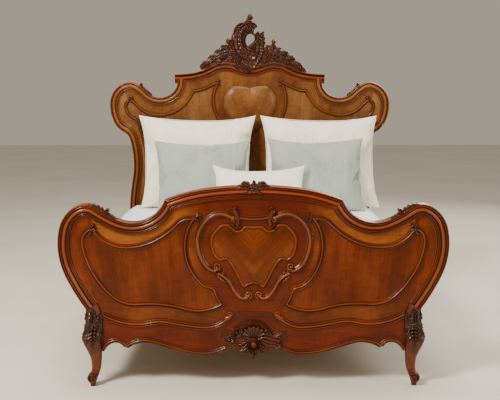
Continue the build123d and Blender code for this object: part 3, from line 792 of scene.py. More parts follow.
def steel(name):
    """Dark blued steel with rust-brown mottling."""
    t = Tree(name, Metallic=1.0)
    here = t.node("TexCoord", {}, OBJECT_SPACE)
    mottle = t.noise(here, (60.0, 60.0, 60.0), 4.0)
    stops = [(0.35, linear(52, 54, 60)), (0.6, linear(92, 92, 98)), (0.75, linear(98, 74, 56))]
    base = t.ramp(mottle, stops)
    rough = t.spread(mottle, 0.0, 1.0, 0.35, 0.7)
    normal = t.node("Bump", {"Strength": 0.3, "Distance": 0.0005, "Height": mottle})
    t.fill(t.shader, {"Base Color": base, "Roughness": rough, "Normal": normal})
    return t.material


ALONG_X = (0, 0, 0)
ALONG_Y = (0, 0, -90)
ALONG_Z = (0, 90, 0)
RED = ((36, 10, 1), (74, 25, 4), (112, 48, 12))
GOLD = ((58, 24, 6), (90, 44, 15), (120, 68, 28))
red_moulding = wood("walnut_red_moulding", *RED, curl=0.12, wear_and_highlight=0.5, polish=0.5, recess=0.8)
arch_moulding = wood("walnut_arch_moulding", (46, 11, 1), (92, 27, 4), (130, 50, 11), curl=0.12, wear_and_highlight=0.35,
                     polish=0.45, recess=0.75)
gold_moulding = wood("walnut_gold_moulding", *GOLD, curl=0.12, wear_and_highlight=0.4, polish=0.4, recess=0.75)
foot_veneer = wood("walnut_foot_panel", (92, 39, 9), (130, 67, 19), (158, 92, 31), ALONG_X, curl=0.35,
                   redder=(0.36, 0.13, 0.1, 1))
apron_wood = wood("walnut_apron", (48, 8, 0), (79, 18, 0), (108, 32, 2), ALONG_X, curl=0.35)
apron_plaque = wood("walnut_apron_plaque", (46, 10, 1), (76, 23, 1), (100, 36, 4), curl=0.2)
wing_veneer = wood("walnut_wing_field", (52, 13, 0), (78, 23, 1), (106, 42, 5), curl=0.32)
side_border = wood("walnut_side_border", (54, 13, 0), (86, 27, 1), (118, 50, 6), curl=0.3)
base_border = wood("walnut_base_border", (54, 16, 1), (84, 32, 3), (110, 50, 8), curl=0.35)
shield_veneer = wood("walnut_shield", (60, 19, 1), (91, 35, 4), (122, 58, 11), curl=0.25, wear_and_highlight=0.4)
head_veneer = wood("walnut_head_panel", (68, 32, 11), (97, 55, 22), (124, 77, 36), ALONG_Z, curl=0.4)
head_border = wood("walnut_head_border", (78, 44, 19), (110, 73, 37), (136, 97, 55), curl=0.25)
heart_burl = wood("walnut_heart", (70, 34, 9), (102, 60, 21), (130, 82, 33), curl=0.5, polish=0.35,
                  satin=0.3)
carved = wood("walnut_carving", (20, 5, 1), (40, 11, 3), (82, 31, 12), curl=0.1, polish=0.35, wear_and_highlight=0.45)
carved_dark = wood("walnut_knee_carving", (12, 4, 2), (26, 9, 5), (58, 24, 13), curl=0.1, polish=0.3,
                   wear_and_highlight=0.4)
carved_bright = wood("walnut_scrolls", (34, 10, 2), (72, 26, 6), (118, 58, 22), curl=0.1, polish=0.5,
                     wear_and_highlight=0.35)
carved_red = wood("walnut_feet", (20, 5, 1), (42, 11, 3), (78, 28, 10), curl=0.1, polish=0.25, wear_and_highlight=0.5)
head_field = wood("walnut_head_field", (74, 40, 17), (105, 67, 34), (132, 90, 50), curl=0.4)
cornice_wood = wood("walnut_cornice", (44, 12, 1), (80, 27, 3), (120, 52, 9), curl=0.15, wear_and_highlight=0.35,
                    polish=0.25)
post_wood = wood("walnut_post", *GOLD, ALONG_Z, curl=0.2)
rail_wood = wood("walnut_rail", (66, 26, 3), (104, 52, 10), (134, 78, 22), ALONG_Y, curl=0.35)
PLAIN = ((148, 116, 76), (178, 146, 102), (202, 172, 128))
plain_x = wood("oak_across", *PLAIN, ALONG_X, curl=0.15, polish=0.0)
plain_y = wood("oak_lengthways", *PLAIN, ALONG_Y, curl=0.15, polish=0.0)
plain_z = wood("oak_upright", *PLAIN, ALONG_Z, curl=0.15, polish=0.0)
hook_steel = steel("blued_steel")
white_cotton = cloth("white_cotton", (250, 251, 255), (232, 236, 244), slub=0.3, crease=0.7)
white_linen = cloth("white_linen", (255, 251, 236), (250, 241, 222), slub=0.7, crease=0.95, sheen=0.8,
                    depth=0.0045)
sage_linen = cloth("sage_linen", (170, 179, 173), (140, 151, 145), slub=0.6, crease=0.7, depth=0.0028)
small_linen = cloth("small_pillow_linen", (252, 245, 236), (228, 219, 209), slub=0.5, sheen=0.5)
ticking = cloth("mattress_ticking", (232, 227, 214), (206, 200, 186), slub=0.5, crease=0.2)

CAD_FINISHES = {
    "footboard_panel": foot_veneer, "footboard_apron": apron_wood, "headboard_panel": head_veneer,
    "headboard_post_left": post_wood, "headboard_post_right": post_wood,
    "side_rail_left": rail_wood, "side_rail_right": rail_wood,
    "slats": plain_x, "headboard_bottom_rail": plain_x, "beam_cleats": plain_x,
    "slat_ledger_left": plain_y, "slat_ledger_right": plain_y, "centre_beam": plain_y,
    "beam_legs": plain_z, "footboard_battens": plain_z, "headboard_battens": plain_z,
    "rail_hooks": hook_steel, "hook_screws": hook_steel,
}
for node, finish in CAD_FINISHES.items():
    mesh = frame["nodes"][node].data
    if mesh.materials:
        for index in range(len(mesh.materials)):
            mesh.materials[index] = finish
    else:
        mesh.materials.append(finish)


# ---- Footboard ------------------------------------------------------------------------------------
def made(name, shape, material, slot):
    """A piece from a shape's vertices, faces, grain and hollows."""
    points, faces, grain, cavity = shape
    return piece(name, points, faces, material, grain, cavity, slot=slot)


foot = on_board(FOOT_FACE)
foot_cap = cap_profile(front=25, back=54, width=57)
left_mitre = (-FOOT_MITRE[0], FOOT_MITRE[1])
arch_shape = swept(both_halves(arcs(FOOT_ARCH)), foot_cap, foot, (left_mitre, FOOT_MITRE))
arch_cap = made("footboard_arch_cap", arch_shape, arch_moulding, "walnut_red")
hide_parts("footboard_cap_centre")
horn = arcs(FOOT_SIDE)
horn_shape = swept(horn, foot_cap, foot, (FOOT_MITRE, None))
pair(made("footboard_horn_right", horn_shape, red_moulding, "walnut_red"), "footboard_cap")

base_path = arcs(BASE_LINE)
BASE_START = 118
base_shape = swept(base_path[base_path[:, 0] > BASE_START], reeded_profile(26, 15), foot)
base_right = made("footboard_base_moulding_right", base_shape, red_moulding, "walnut_red")
mirrored(base_right)
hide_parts("base_moulding")
curl = Carving((84, 286), (152, 350), 1.3)
curl.band([(122, 307), (112, 313), (104, 322)], 25, 14, taper=(1.0, 0.8))
curl.volute((108, 328), 15, 16, turns=1.2, start=-2.2, hand=-1)
pair(made("base_moulding_curl_right", curl.shape(foot), red_moulding, "walnut_red"))
HALF_EDGE = 10
edge_paths = [arcs(([(x, z + HALF_EDGE) for x, z in line], heading)) for line, heading in APRON_EDGE]
edge_shape = join([swept(path, reeded_profile(2 * HALF_EDGE, 13), foot) for path in edge_paths])
edge_right = made("apron_edge_right", edge_shape, red_moulding, "walnut_red")
mirrored(edge_right)
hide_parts("apron_edge_bead")
wing_strips = strips(WING, bead_profile(21, 16), foot, closed=True)
pair(made("wing_field_moulding_right", wing_strips, red_moulding, "walnut_red"), "wing_moulding")

# Veneers: the borders lie on the panel, mitred at the lower corner, and the wing's field over them.
wing_outline = np.vstack([arcs(chain)[:-1] for chain in WING])
pair(made("wing_field_veneer_right", plate(wing_outline, foot, 1.4, 84), wing_veneer, "walnut_field"))
wing_side = arcs(WING[1])
corner = int(np.argmin(np.hypot(*(wing_side - (640, 414)).T)))
border_mitre = (716, 350)
CAP_COVERS = 50
outer = inset(horn, CAP_COVERS)
outer = outer[(outer[:, 0] > border_mitre[0]) & (outer[:, 1] < 770)]
side_outline = np.vstack([outer, [border_mitre], wing_side[corner::-1]])
pair(made("side_border_veneer_right", plate(side_outline, foot, 0.7, 78), side_border, "walnut_field"))
along_base = base_path + (0, 4)
along_base = along_base[(along_base[:, 0] > 112) & (along_base[:, 0] < 672)]
base_outline = np.vstack([wing_side[corner:], along_base, [border_mitre]])
pair(made("base_border_veneer_right", plate(base_outline, foot, 0.9, 12), base_border, "walnut_field"))

# The cartouche: a bevelled shield of matched veneer in a frame of carved scrolls.
half = flowing(SHIELD, 5)
shield_outline = np.vstack([half, half[::-1] * (-1, 1)])
shield = Carving((-215, 445), (215, 750), 2.4)
depth = shield.distance(shield_outline)
rim = 7 * np.exp(-(((depth - 5) / 4.5) ** 2))
dome = 4 + 7 * (1 - np.exp(-np.maximum(depth - 10, 0) / 50))
shield.height = np.where(depth > 0, np.minimum(depth, dome + rim), depth)
shield_shape = shield.shape(foot, edge=1, back=SUNK, grain_angle=48, matched=True)
shield_piece = made("shield_panel", shield_shape, shield_veneer, "walnut_field")
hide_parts("cartouche_shield")

scroll = Carving((60, 500), (285, 812))
scroll.band(C_SCROLL, 31, 7)
scroll.band(C_SCROLL, 19, 17)
scroll.volute((92, 758), 16, 18, turns=1.2, start=1.4, hand=1)
scroll.leaf([(240, 650), (258, 668), (266, 696)], 18, 14, 3)
scroll.volute((166, 546), 20, 19, turns=1.2, start=-1.4, hand=-1)
pair(made("c_scroll_carving_right", scroll.shape(foot), carved_bright, "walnut_red"), "c_scroll")

lower = Carving((0, 380), (190, 540))
lower.band(S_SCROLL, 27, 7)
lower.band(S_SCROLL, 17, 16)
lower.leaf([(122, 476), (144, 494), (168, 518)], 32, 18, 4)
lower.leaf([(134, 492), (138, 510), (134, 528)], 18, 15, 2)
lower.volute((24, 416), 20, 18, turns=1.3, start=-1.9, hand=-1)
pair(made("s_scroll_carving_right", lower.shape(foot), carved_bright, "walnut_red"), "s_scroll")

bridge = Carving((-116, 712), (116, 830))
for hand in (-1, 1):
    upright = [(hand * 74, 736), (hand * 70, 754), (hand * 76, 776), (hand * 84, 794)]
    bridge.band(upright, 26, 23, taper=(0.8, 1.0))
    bridge.volute((hand * 83, 799), 17, 25, turns=1.2, start=pi / 2 + hand * 1.2, hand=-hand)
    bridge.volute((hand * 80, 738), 15, 24, turns=1.2, start=-pi / 2 - hand * 1.0, hand=hand)
bridge_piece = made("bridge_carving", bridge.shape(foot), carved, "walnut_red")
bar = flowing([(-70, 768), (-36, 762), (0, 760), (36, 762), (70, 768)], 4)
made("bridge_bar", swept(bar, bead_profile(25, 15), foot), red_moulding, "walnut_red")
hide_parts("bridge_scroll")


def corner_leaf(centre, size, turn):
    """A small curled leaf with three fronds and a berry, at the end of a field moulding."""
    x, z = centre
    room = size * 1.3
    leaf = Carving((x - room, z - room), (x + room, z + room), 1.3)

    def at(reach, angle):
        way = turn + radians(angle)
        return x + size * reach * cos(way), z + size * reach * sin(way)

    leaf.leaf([at(0.2, 180), at(0.5, 20), at(0.95, 40), at(1.0, 75)], size * 0.75, 12, 3)
    leaf.leaf([at(0.2, 180), at(0.5, 110), at(0.9, 130)], size * 0.7, 10, 3)
    leaf.leaf([at(0.1, 0), at(0.55, 230), at(1.0, 250)], size * 0.6, 9, 3)
    leaf.button(at(0.15, 90), size * 0.22, 12)
    return leaf


outer_leaf = corner_leaf((724, 710), 27, 1.1).shape(foot, edge=9)
inner_leaf = corner_leaf((262, 766), 25, 1.9).shape(foot, edge=9)
wing_leaf_pieces = [
    made("wing_leaf_outer_right", outer_leaf, carved, "walnut_carving"),
    made("wing_leaf_inner_right", inner_leaf, carved, "walnut_carving"),
]
for leaf_piece in wing_leaf_pieces:
    mirrored(leaf_piece)
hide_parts("wing_leaves")

rosette = Carving((-92, 862), (92, 945))
for hand in (-1, 1):
    rosette.leaves(
        ([(0, 893), (hand * 30, 905), (hand * 58, 908), (hand * 78, 896)], 34, 15, 4),
        ([(hand * 8, 900), (hand * 34, 922), (hand * 56, 922)], 24, 15, 3),
        ([(hand * 6, 888), (hand * 28, 880), (hand * 50, 880)], 20, 12, 3),
    )
rosette.leaf([(0, 900), (2, 918), (0, 936)], 26, 17, 3)
rosette.flower((0, 900), 19, 20, petals=5, turn=0.3)
rosette_shape = rosette.shape(foot, edge=20, back=6)
rosette_piece = made("foot_crest_rosette", rosette_shape, carved, "walnut_carving")
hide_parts("footboard_crest_carving")

horn_leaf = Carving((596, 745), (760, 842))
horn_leaf.leaves(
    ([(656, 784), (684, 808), (714, 822), (744, 826)], 24, 9, 5),
    ([(650, 786), (630, 772), (610, 764)], 20, 9, 3),
    ([(660, 782), (672, 800), (670, 816)], 18, 12, 3),
)
horn_leaf.volute((650, 796), 14, 14, turns=1.2, start=2.4, hand=-1)
horn_leaf_shape = horn_leaf.shape(foot, edge=20, back=8)
horn_leaf_right = made("footboard_horn_leaf_right", horn_leaf_shape, carved, "walnut_carving")
mirrored(horn_leaf_right)
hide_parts("footboard_horn_leaves")

# The apron's carving: a shell over a cabochon, with leafy sprays and a drop, on a raised ground.
ground = flowing([(0, 336), (66, 336), (104, 318), (128, 292), (148, 266), (140, 242), (152, 214), (126, 186),
                  (86, 172), (60, 150), (0, 142)], 6)
ground = np.vstack([ground[:-1], ground[:0:-1] * (-1, 1)])
made("apron_ground", plate(ground, foot, 2.6, 0), apron_plaque, "walnut_red")
side_line = flowing([(104, 312), (132, 290), (148, 264), (141, 240), (153, 212), (128, 186), (104, 172)], 4)
pair(made("apron_side_line_right", swept(side_line, bead_profile(9, 6), foot), red_moulding, "walnut_red"))
shell = Carving((-168, 104), (168, 312))
shell.fan((0, 214), 66, 19, 14, 166, flutes=7)
shell.band([(-92, 222), (-74, 262), (-36, 288), (10, 292), (52, 276), (74, 246)], 13, 17, ridges=2)
for hand, lift, width in ((-1, 8, 30), (1, 0, 40)):
    shell.leaves(
        ([(hand * 18, 212), (hand * 52, 228 + lift), (hand * 92, 216 + lift), (hand * 144, 210 + lift)],
         width, 17, 6),
        ([(hand * 44, 226), (hand * 68, 252 + lift), (hand * 96, 262 + lift)], width * 0.8, 16, 4),
        ([(hand * 30, 206), (hand * 66, 190), (hand * 106, 186 + lift)], width * 0.85, 16, 4),
        ([(hand * 88, 218 + lift), (hand * 116, 236 + lift), (hand * 136, 246 + lift)], 22, 14, 3),
        ([(hand * 84, 204 + lift), (hand * 112, 192 + lift), (hand * 134, 196 + lift)], 20, 14, 3),
        ([(hand * 14, 196), (hand * 36, 172), (hand * 66, 156)], 28, 16, 4),
        ([(hand * 10, 180), (hand * 22, 156), (hand * 44, 136)], 22, 14, 3),
    )
    shell.button((hand * 112, 202 + lift), 8, 17)
    shell.button((hand * 76, 236 + lift), 7, 18)
shell.leaf([(0, 176), (2, 150), (0, 116)], 34, 17, 4)
shell.band([(-26, 192), (-24, 170), (0, 158), (24, 170), (26, 192), (14, 208)], 12, 21, ridges=2)
shell.button((0, 186), 17, 25, squeeze=1.1)
apron_piece = made("apron_shell_carving", shell.shape(foot, edge=3), carved, "walnut_carving")
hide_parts("apron_carving")

# ---- Front legs -----------------------------------------------------------------------------------
# Each station of the leg: height, X of the middle, how far behind the panel's face, side.
LEG_STATIONS = np.array([
    (10, 727, -14, 26), (22, 729, -13, 36), (40, 726, -8, 42), (60, 718, -1, 40), (84, 713, 5, 42),
    (130, 714, 5, 52), (170, 721, 0, 68), (206, 728, -2, 81), (232, 726, 6, 80), (254, 720, 16, 72),
    (290, 718, 18, 68), (330, 718, 18, 68),
], float)
LEG_SIDES = 48


def leg_section(z):
    """Middle and side of a leg's section at a height, smoothed between the stations."""
    values = []
    for column in (1, 2, 3):
        curve = flowing(LEG_STATIONS[:, (0, column)], 4)
        values.append(np.interp(z, curve[:, 0], curve[:, 1]))
    return values


def leg_shape():
    """The cabriole leg: rounded square sections, squarer towards the top."""
    heights = np.linspace(LEG_STATIONS[0, 0], LEG_STATIONS[-1, 0], 90)
    turn = np.linspace(0, 2 * pi, LEG_SIDES, endpoint=False)
    points, grain = [], []
    for z in heights:
        x, y, side = leg_section(z)
        power = 2 / np.interp(z, (10, 130, 254), (2.6, 3.2, 7.0))
        ring_x = x + side / 2 * np.sign(np.cos(turn)) * np.abs(np.cos(turn)) ** power
        ring_y = y + side / 2 * np.sign(np.sin(turn)) * np.abs(np.sin(turn)) ** power
        points.append(np.stack([ring_x * MM, FOOT_FACE + ring_y * MM, np.full(LEG_SIDES, z * MM)], 1))
        grain.append(np.stack([np.full(LEG_SIDES, z), turn * side / 2, np.zeros(LEG_SIDES)], 1) * MM)
    count = len(heights) * LEG_SIDES
    faces = ring_faces(len(heights), LEG_SIDES)
    faces += [tuple(range(LEG_SIDES)), tuple(range(count - LEG_SIDES, count))]
    return np.vstack(points), faces, np.vstack(grain), np.zeros(count)


def on_leg(x, z, height):
    """Placing of (x, z, height) on the leg's curved front."""
    middle, back, side = leg_section(z)
    share = np.clip(np.abs(x - middle) / (side / 2), 0, 0.97)
    front = back - side / 2 * (1 - share**4) ** 0.25
    return np.stack([x * MM, FOOT_FACE + (front - height) * MM, z * MM], -1)


def on_leg_side(y, z, height):
    """Placing of (distance behind the panel's face, z, height) on the leg's curved outer side."""
    middle, back, side = leg_section(z)
    share = np.clip(np.abs(y - back) / (side / 2), 0, 0.97)
    out = middle + side / 2 * (1 - share**4) ** 0.25
    return np.stack([(out + height) * MM, FOOT_FACE + y * MM, z * MM], -1)


def knee_carving(middle):
    """Berries and leaves on the knee under a cluster of acanthus."""
    knee = Carving((middle - 46, 160), (middle + 46, 358), 1.5)
    knee.leaf([(middle, 262), (middle + 2, 304), (middle - 1, 352)], 50, 16, 5)
    for hand in (-1, 1):
        knee.leaves(
            ([(middle + hand * 6, 274), (middle + hand * 26, 300), (middle + hand * 32, 338)], 32, 14, 4),
            ([(middle + hand * 4, 272), (middle + hand * 26, 258), (middle + hand * 34, 226)], 28, 12, 4),
            ([(middle + hand * 8, 236), (middle + hand * 24, 222), (middle + hand * 28, 196)], 18, 8, 3),
        )
        for step in range(5):
            berry = (middle + hand * (8 - step * 0.6), 262 - step * 14)
            knee.button(berry, 8.5 - step * 0.7, 13 - step)
    knee.leaf([(middle, 214), (middle + 2, 192), (middle, 168)], 20, 8, 3)
    knee.flower((middle, 272), 17, 20, petals=5)
    return knee


leg_block = [(684, 250), (684, 323), (704, 378), (749, 346), (753, 300), (753, 250)]
whole_leg = join([leg_shape(), plate(leg_block, foot, 15, 90, back=-53)])
pair(made("cabriole_leg_right", whole_leg, red_moulding, "walnut_red"), "front_leg")
front_shape = knee_carving(722).shape(on_leg, edge=0.6, back=-3)
knee_front = made("knee_carving_right", front_shape, carved_dark, "walnut_carving")
side_shape = knee_carving(12).shape(on_leg_side, edge=0.6, back=-3)
knee_side = made("knee_side_carving_right", side_shape, carved_dark, "walnut_carving")
toe = Carving((698, 8), (764, 66), 1.3)
toe.volute((730, 36), 24, 10, turns=1.6, start=2.2, hand=-1, width=12)
toe.leaf([(708, 64), (714, 46), (726, 32)], 18, 9, 2)
toe_piece = made("toe_scroll_right", toe.shape(foot, edge=30, back=-8), carved_red, "walnut_red")
peg_section = [(-11, 1), (-8, 4), (8, 4), (11, 1), (11, 24), (8, 27), (-8, 27), (-11, 24)]
peg = made("foot_peg_right", swept([(727, 0), (727, 14)], peg_section, foot), carved, "walnut_red")
for each in (knee_front, knee_side, toe_piece, peg):
    mirrored(each)

# ---- Headboard ------------------------------------------------------------------------------------
head = on_board(HEAD_FACE)
head_side = arcs(HEAD_SIDE)
head_cap = soft_cap_profile(front=22, back=48, width=57)
head_horn_shape = swept(head_side, head_cap, head)
pair(made("headboard_horn_right", head_horn_shape, gold_moulding, "walnut_gold"), "headboard_cap")

cornice_section = rounded(
    (0, -6, 29, 29, 1.8), (-6, -12, 25, 14, -2), (-12, -14, 14, 13, 0), (-14, -35, 15, 12, 9),
    (-35, -38, 8, 7, 0), (-38, -47, 9, 8, 3), (-47, -50, 6, 5, 0), (-50, -57, 4, 2, -0.5),
) + [(-57, -30), (-50, -46), (-6, -46), (0, -40)]
cornice_path = both_halves(arcs(CORNICE))
cornice = made("cornice_moulding", swept(cornice_path, cornice_section, head), cornice_wood, "walnut_gold")
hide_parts("headboard_cornice")

heart_half = arcs(HEART)
heart_outline = np.vstack([heart_half, heart_half[::-1] * (-1, 1)])
heart = Carving((-176, 975), (176, 1325), 2.8)
depth = heart.distance(heart_outline)
gx, gz = np.meshgrid(heart.x, heart.z)
valley = np.exp(-((gx / 42) ** 2)) * np.clip((gz - 1150) / 150, 0, 1)
dome = 20 * (1 - np.exp(-np.maximum(depth - 5, 0) / 30)) * (1 - 0.25 * valley)
heart.height = np.where(depth > 0, np.minimum(depth, 5) * 0.8 + dome, depth)
heart_shape = heart.shape(head, back=SUNK, grain_angle=70, matched=True)
heart_piece = made("heart_boss", heart_shape, heart_burl, "walnut_burl")
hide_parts("headboard_heart")

field_bead = bead_profile(19, 15)
field_strips = join([strips(FIELD, field_bead, head), strips([FIELD_SIDE], field_bead, head)])
pair(made("field_moulding_right", field_strips, gold_moulding, "walnut_gold"), "headboard_field_moulding")
bracket_strip = strips([BRACKET], field_bead, head)
bracket_piece = made("bracket_moulding_right", bracket_strip, gold_moulding, "walnut_gold")
pair(bracket_piece, "headboard_bracket_moulding")
bracket_leaf = corner_leaf((203, 1324), 26, 1.2)
field_leaf = corner_leaf((754, 1224), 27, 1.6)
for label, leaf in (("bracket_leaf_right", bracket_leaf), ("field_leaf_right", field_leaf)):
    leaf_piece = made(label, leaf.shape(head, edge=8), carved, "walnut_carving")
    mirrored(leaf_piece)
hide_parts("headboard_field_leaves")
VENEER_FOOT = 700
turn_down = int(np.argmin(np.hypot(*(head_side - (800, 1318)).T)))
head_outer = inset(head_side, CAP_COVERS)[turn_down:]
head_outer = head_outer[head_outer[:, 1] > VENEER_FOOT]
field_side = arcs(FIELD_SIDE)
field_side = field_side[field_side[:, 1] > VENEER_FOOT]
head_border_outline = np.vstack([head_outer, field_side[::-1]])
pair(made("head_border_veneer_right", plate(head_border_outline, head, 0.7, 84), head_border, "walnut_field"))
field_foot = [(160, VENEER_FOOT), (655, VENEER_FOOT)]
head_outline = np.vstack([arcs(FIELD[0]), arcs(FIELD[1])[1:], arcs(BRACKET), field_foot,
                          arcs(FIELD_SIDE)[::-1][6:]])
pair(made("head_field_veneer_right", plate(head_outline, head, 1.2, 86), head_field, "walnut_field"))

head_horn = Carving((600, 1235), (735, 1365))
head_horn.leaf([(612, 1256), (640, 1276), (664, 1298), (680, 1326)], 22, 9, 5)
head_horn.volute((676, 1322), 12, 13, turns=1.3, start=-1.2, hand=1)
head_leaf_shape = head_horn.shape(head, edge=15, back=4)
head_horn_leaf = made("headboard_horn_leaf_right", head_leaf_shape, carved, "walnut_carving")
mirrored(head_horn_leaf)
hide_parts("headboard_horn_leaves")

# The crest: a pierced asymmetrical scroll with a knob, over sprays of leaves and flowers.
crest = Carving((-150, 1372), (150, 1768))
CREST_GROUND = [
    (-24, 1716), (8, 1716), (34, 1694), (30, 1664), (22, 1640), (38, 1634), (62, 1640), (88, 1634),
    (94, 1600), (86, 1560), (80, 1530), (80, 1490), (74, 1448), (56, 1424), (20, 1412), (0, 1394),
    (-18, 1394), (-50, 1410), (-84, 1424), (-94, 1462), (-88, 1502), (-98, 1548), (-102, 1600),
    (-92, 1648), (-64, 1686),
]
CREST_SCROLL = [(34, 1684), (0, 1690), (-42, 1676), (-70, 1636), (-75, 1586), (-60, 1540), (-28, 1512),
                (12, 1500)]
CREST_RIM = [(-20, 1640), (-36, 1610), (-36, 1576), (-14, 1546), (20, 1530), (54, 1526)]
crest.slab(CREST_GROUND, 7)
crest.scallop(CREST_SCROLL, 62, 25, 11, taper=(0.5, 1.1))
crest.scallop([(62, 1566), (58, 1520), (40, 1480), (16, 1446)], 64, 22, 8, taper=(0.75, 0.9))
crest.band(CREST_RIM, 12, 29, taper=(0.7, 0.8))
crest.band([(36, 1696), (8, 1704), (-30, 1698), (-62, 1676)], 12, 24, taper=(0.8, 1.0))
crest.leaves(
    ([(36, 1600), (60, 1616), (80, 1640), (92, 1646)], 30, 28, 5),
    ([(40, 1584), (70, 1590), (96, 1612)], 32, 26, 5),
    ([(34, 1610), (46, 1634), (56, 1650)], 24, 28, 4),
    ([(50, 1560), (80, 1566), (98, 1586)], 26, 24, 4),
    ([(84, 1556), (64, 1570), (48, 1596), (44, 1626)], 18, 30, 5),
    ([(-100, 1630), (-86, 1672), (-60, 1696), (-34, 1704)], 18, 22, 7),
    ([(-74, 1520), (-104, 1552), (-110, 1600), (-106, 1636)], 20, 20, 8),
    ([(-34, 1414), (-72, 1436), (-92, 1476), (-88, 1522)], 34, 24, 6),
    ([(-78, 1420), (-94, 1444), (-112, 1452)], 22, 20, 3),
    ([(44, 1430), (78, 1452), (90, 1492), (86, 1540)], 26, 20, 6),
    ([(-16, 1420), (-44, 1450), (-50, 1492)], 32, 26, 4),
)
crest.volute((3, 1660), 25, 29, turns=1.4, start=2.6, hand=1)
crest.band([(0, 1686), (-12, 1704), (-12, 1722), (0, 1738)], 26, 19, taper=(1.0, 0.7))
crest.button((4, 1738), 19, 24)
ROSE_Z = 1470
for turn, reach in ((-152, 74), (-120, 66), (-90, 78), (-60, 62), (-28, 60)):
    tip = (reach * cos(radians(turn)), ROSE_Z + reach * sin(radians(turn)))
    crest.leaf([(0, 1472), (tip[0] * 0.55, ROSE_Z + (tip[1] - ROSE_Z) * 0.5), tip], 28, 25, 3)
crest.flower((0, 1478), 22, 29, petals=6)
crest.pierce(flowing([(6, 1636), (-14, 1628), (-25, 1604), (-24, 1578), (-14, 1560), (6, 1572), (24, 1588),
                      (31, 1604), (27, 1622), (6, 1636)], 4))
crest_shape = crest.shape(head, edge=24, back=6, back_relief=0.35)
crest_piece = made("crest_shell", crest_shape, carved, "walnut_carving")
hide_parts("crest_carving")


def spray(ground, leaves, flowers, low, high):
    """A falling spray of leaves and flowers on a solid ground. A flower of no petals is a bud."""
    work = Carving(low, high)
    work.slab(ground, 6)
    for points, width, height in leaves:
        work.leaf(points, width, height, 4)
    for x, z, radius, petals in flowers:
        if petals:
            work.flower((x, z), radius, 24, petals=petals, turn=x)
        else:
            work.button((x, z), radius, 20)
    return work


right_spray = spray(
    [(30, 1420), (40, 1500), (90, 1534), (126, 1562), (150, 1576), (164, 1560), (180, 1536), (214, 1522),
     (252, 1494), (288, 1462), (326, 1432), (358, 1398), (336, 1396), (250, 1424), (120, 1434)],
    [([(96, 1500), (126, 1536), (148, 1578)], 40, 22),
     ([(150, 1510), (176, 1540), (198, 1546)], 30, 19),
     ([(88, 1552), (84, 1500), (110, 1470), (150, 1452)], 26, 22),
     ([(120, 1560), (140, 1516), (186, 1486), (250, 1462)], 54, 21),
     ([(180, 1500), (214, 1522), (246, 1512)], 30, 20),
     ([(226, 1480), (258, 1492), (288, 1472)], 28, 18),
     ([(268, 1452), (300, 1454), (334, 1426)], 28, 17),
     ([(310, 1432), (336, 1420), (356, 1396)], 18, 13),
     ([(110, 1486), (148, 1456), (190, 1440)], 36, 18),
     ([(190, 1470), (224, 1444), (266, 1426)], 30, 17),
     ([(50, 1452), (88, 1440), (124, 1438)], 30, 17),
     ([(84, 1524), (104, 1548), (110, 1572)], 24, 17)],
    [(150, 1587, 15, 0), (132, 1508, 25, 5), (202, 1482, 19, 5), (268, 1452, 15, 5), (314, 1426, 9, 0),
     (94, 1476, 16, 6), (238, 1454, 9, 0)],
    (10, 1380), (374, 1616),
)
left_spray = spray(
    [(-20, 1420), (-36, 1500), (-84, 1538), (-110, 1566), (-134, 1582), (-152, 1566), (-180, 1554),
     (-214, 1520), (-250, 1486), (-288, 1454), (-314, 1430), (-300, 1412), (-240, 1428), (-120, 1438)],
    [([(-88, 1510), (-112, 1548), (-130, 1584)], 40, 22),
     ([(-128, 1524), (-154, 1556), (-182, 1560)], 30, 20),
     ([(-60, 1470), (-104, 1514), (-160, 1516), (-214, 1484), (-256, 1450)], 44, 19),
     ([(-166, 1512), (-196, 1530), (-222, 1518)], 28, 19),
     ([(-204, 1486), (-236, 1496), (-264, 1478)], 28, 18),
     ([(-110, 1496), (-140, 1464), (-176, 1448)], 36, 18),
     ([(-180, 1480), (-212, 1454), (-248, 1436)], 30, 17),
     ([(-50, 1452), (-86, 1442), (-124, 1440)], 30, 17),
     ([(-250, 1458), (-280, 1458), (-310, 1434)], 26, 16),
     ([(-80, 1526), (-92, 1552), (-104, 1570)], 24, 17)],
    [(-133, 1591, 16, 0), (-110, 1518, 26, 6), (-168, 1500, 21, 5), (-224, 1470, 17, 5),
     (-276, 1444, 11, 5), (-76, 1474, 17, 6), (-196, 1452, 9, 0), (-302, 1428, 7, 0)],
    (-332, 1395), (0, 1616),
)
for label, work in (("crest_spray_right", right_spray), ("crest_spray_left", left_spray)):
    spray_shape = work.shape(head, edge=20, back=6, back_relief=0.3)
    carving = made(label + "_carving", spray_shape, carved, "walnut_carving")
    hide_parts(label)

# ---- Side rails -----------------------------------------------------------------------------------
rail_low, rail_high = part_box("side_rail_right")
rail_middle = (rail_low.y + rail_high.y) / 2 / MM
rail_half = (rail_high.y - rail_low.y) / 2 / MM
lower_edge = arcs(([(0, 246), (520, 236), (800, 218), (rail_half, 215)], 0), 12)
upper_edge = np.array([(-rail_half, 388), (0, 388), (rail_half, 388)], float)
rail_lines = [both_halves(lower_edge) + (rail_middle, 0), upper_edge + (rail_middle, 0)]
rail_shape = join([swept(path, bead_profile(16, 9), on_rail) for path in rail_lines])
pair(made("rail_bead_right", rail_shape, gold_moulding, "walnut_gold"), "rail_moulding")


# ---- Bedding --------------------------------------------------------------------------------------
def soft_mesh(name, points, faces, material):
    """A mesh object for a soft piece, before it is filled."""
    mesh = bpy.data.meshes.new(name)
    mesh.from_pydata(np.asarray(points, float).tolist(), [], faces)
    mesh.materials.append(material)
    obj = bpy.data.objects.new(name, mesh)
    bpy.context.scene.collection.objects.link(obj)
    return obj


def coordinates(mesh):
    """A mesh's vertices as an array."""
    co = np.zeros(len(mesh.vertices) * 3)
    mesh.vertices.foreach_get("co", co)
    return co.reshape(-1, 3)


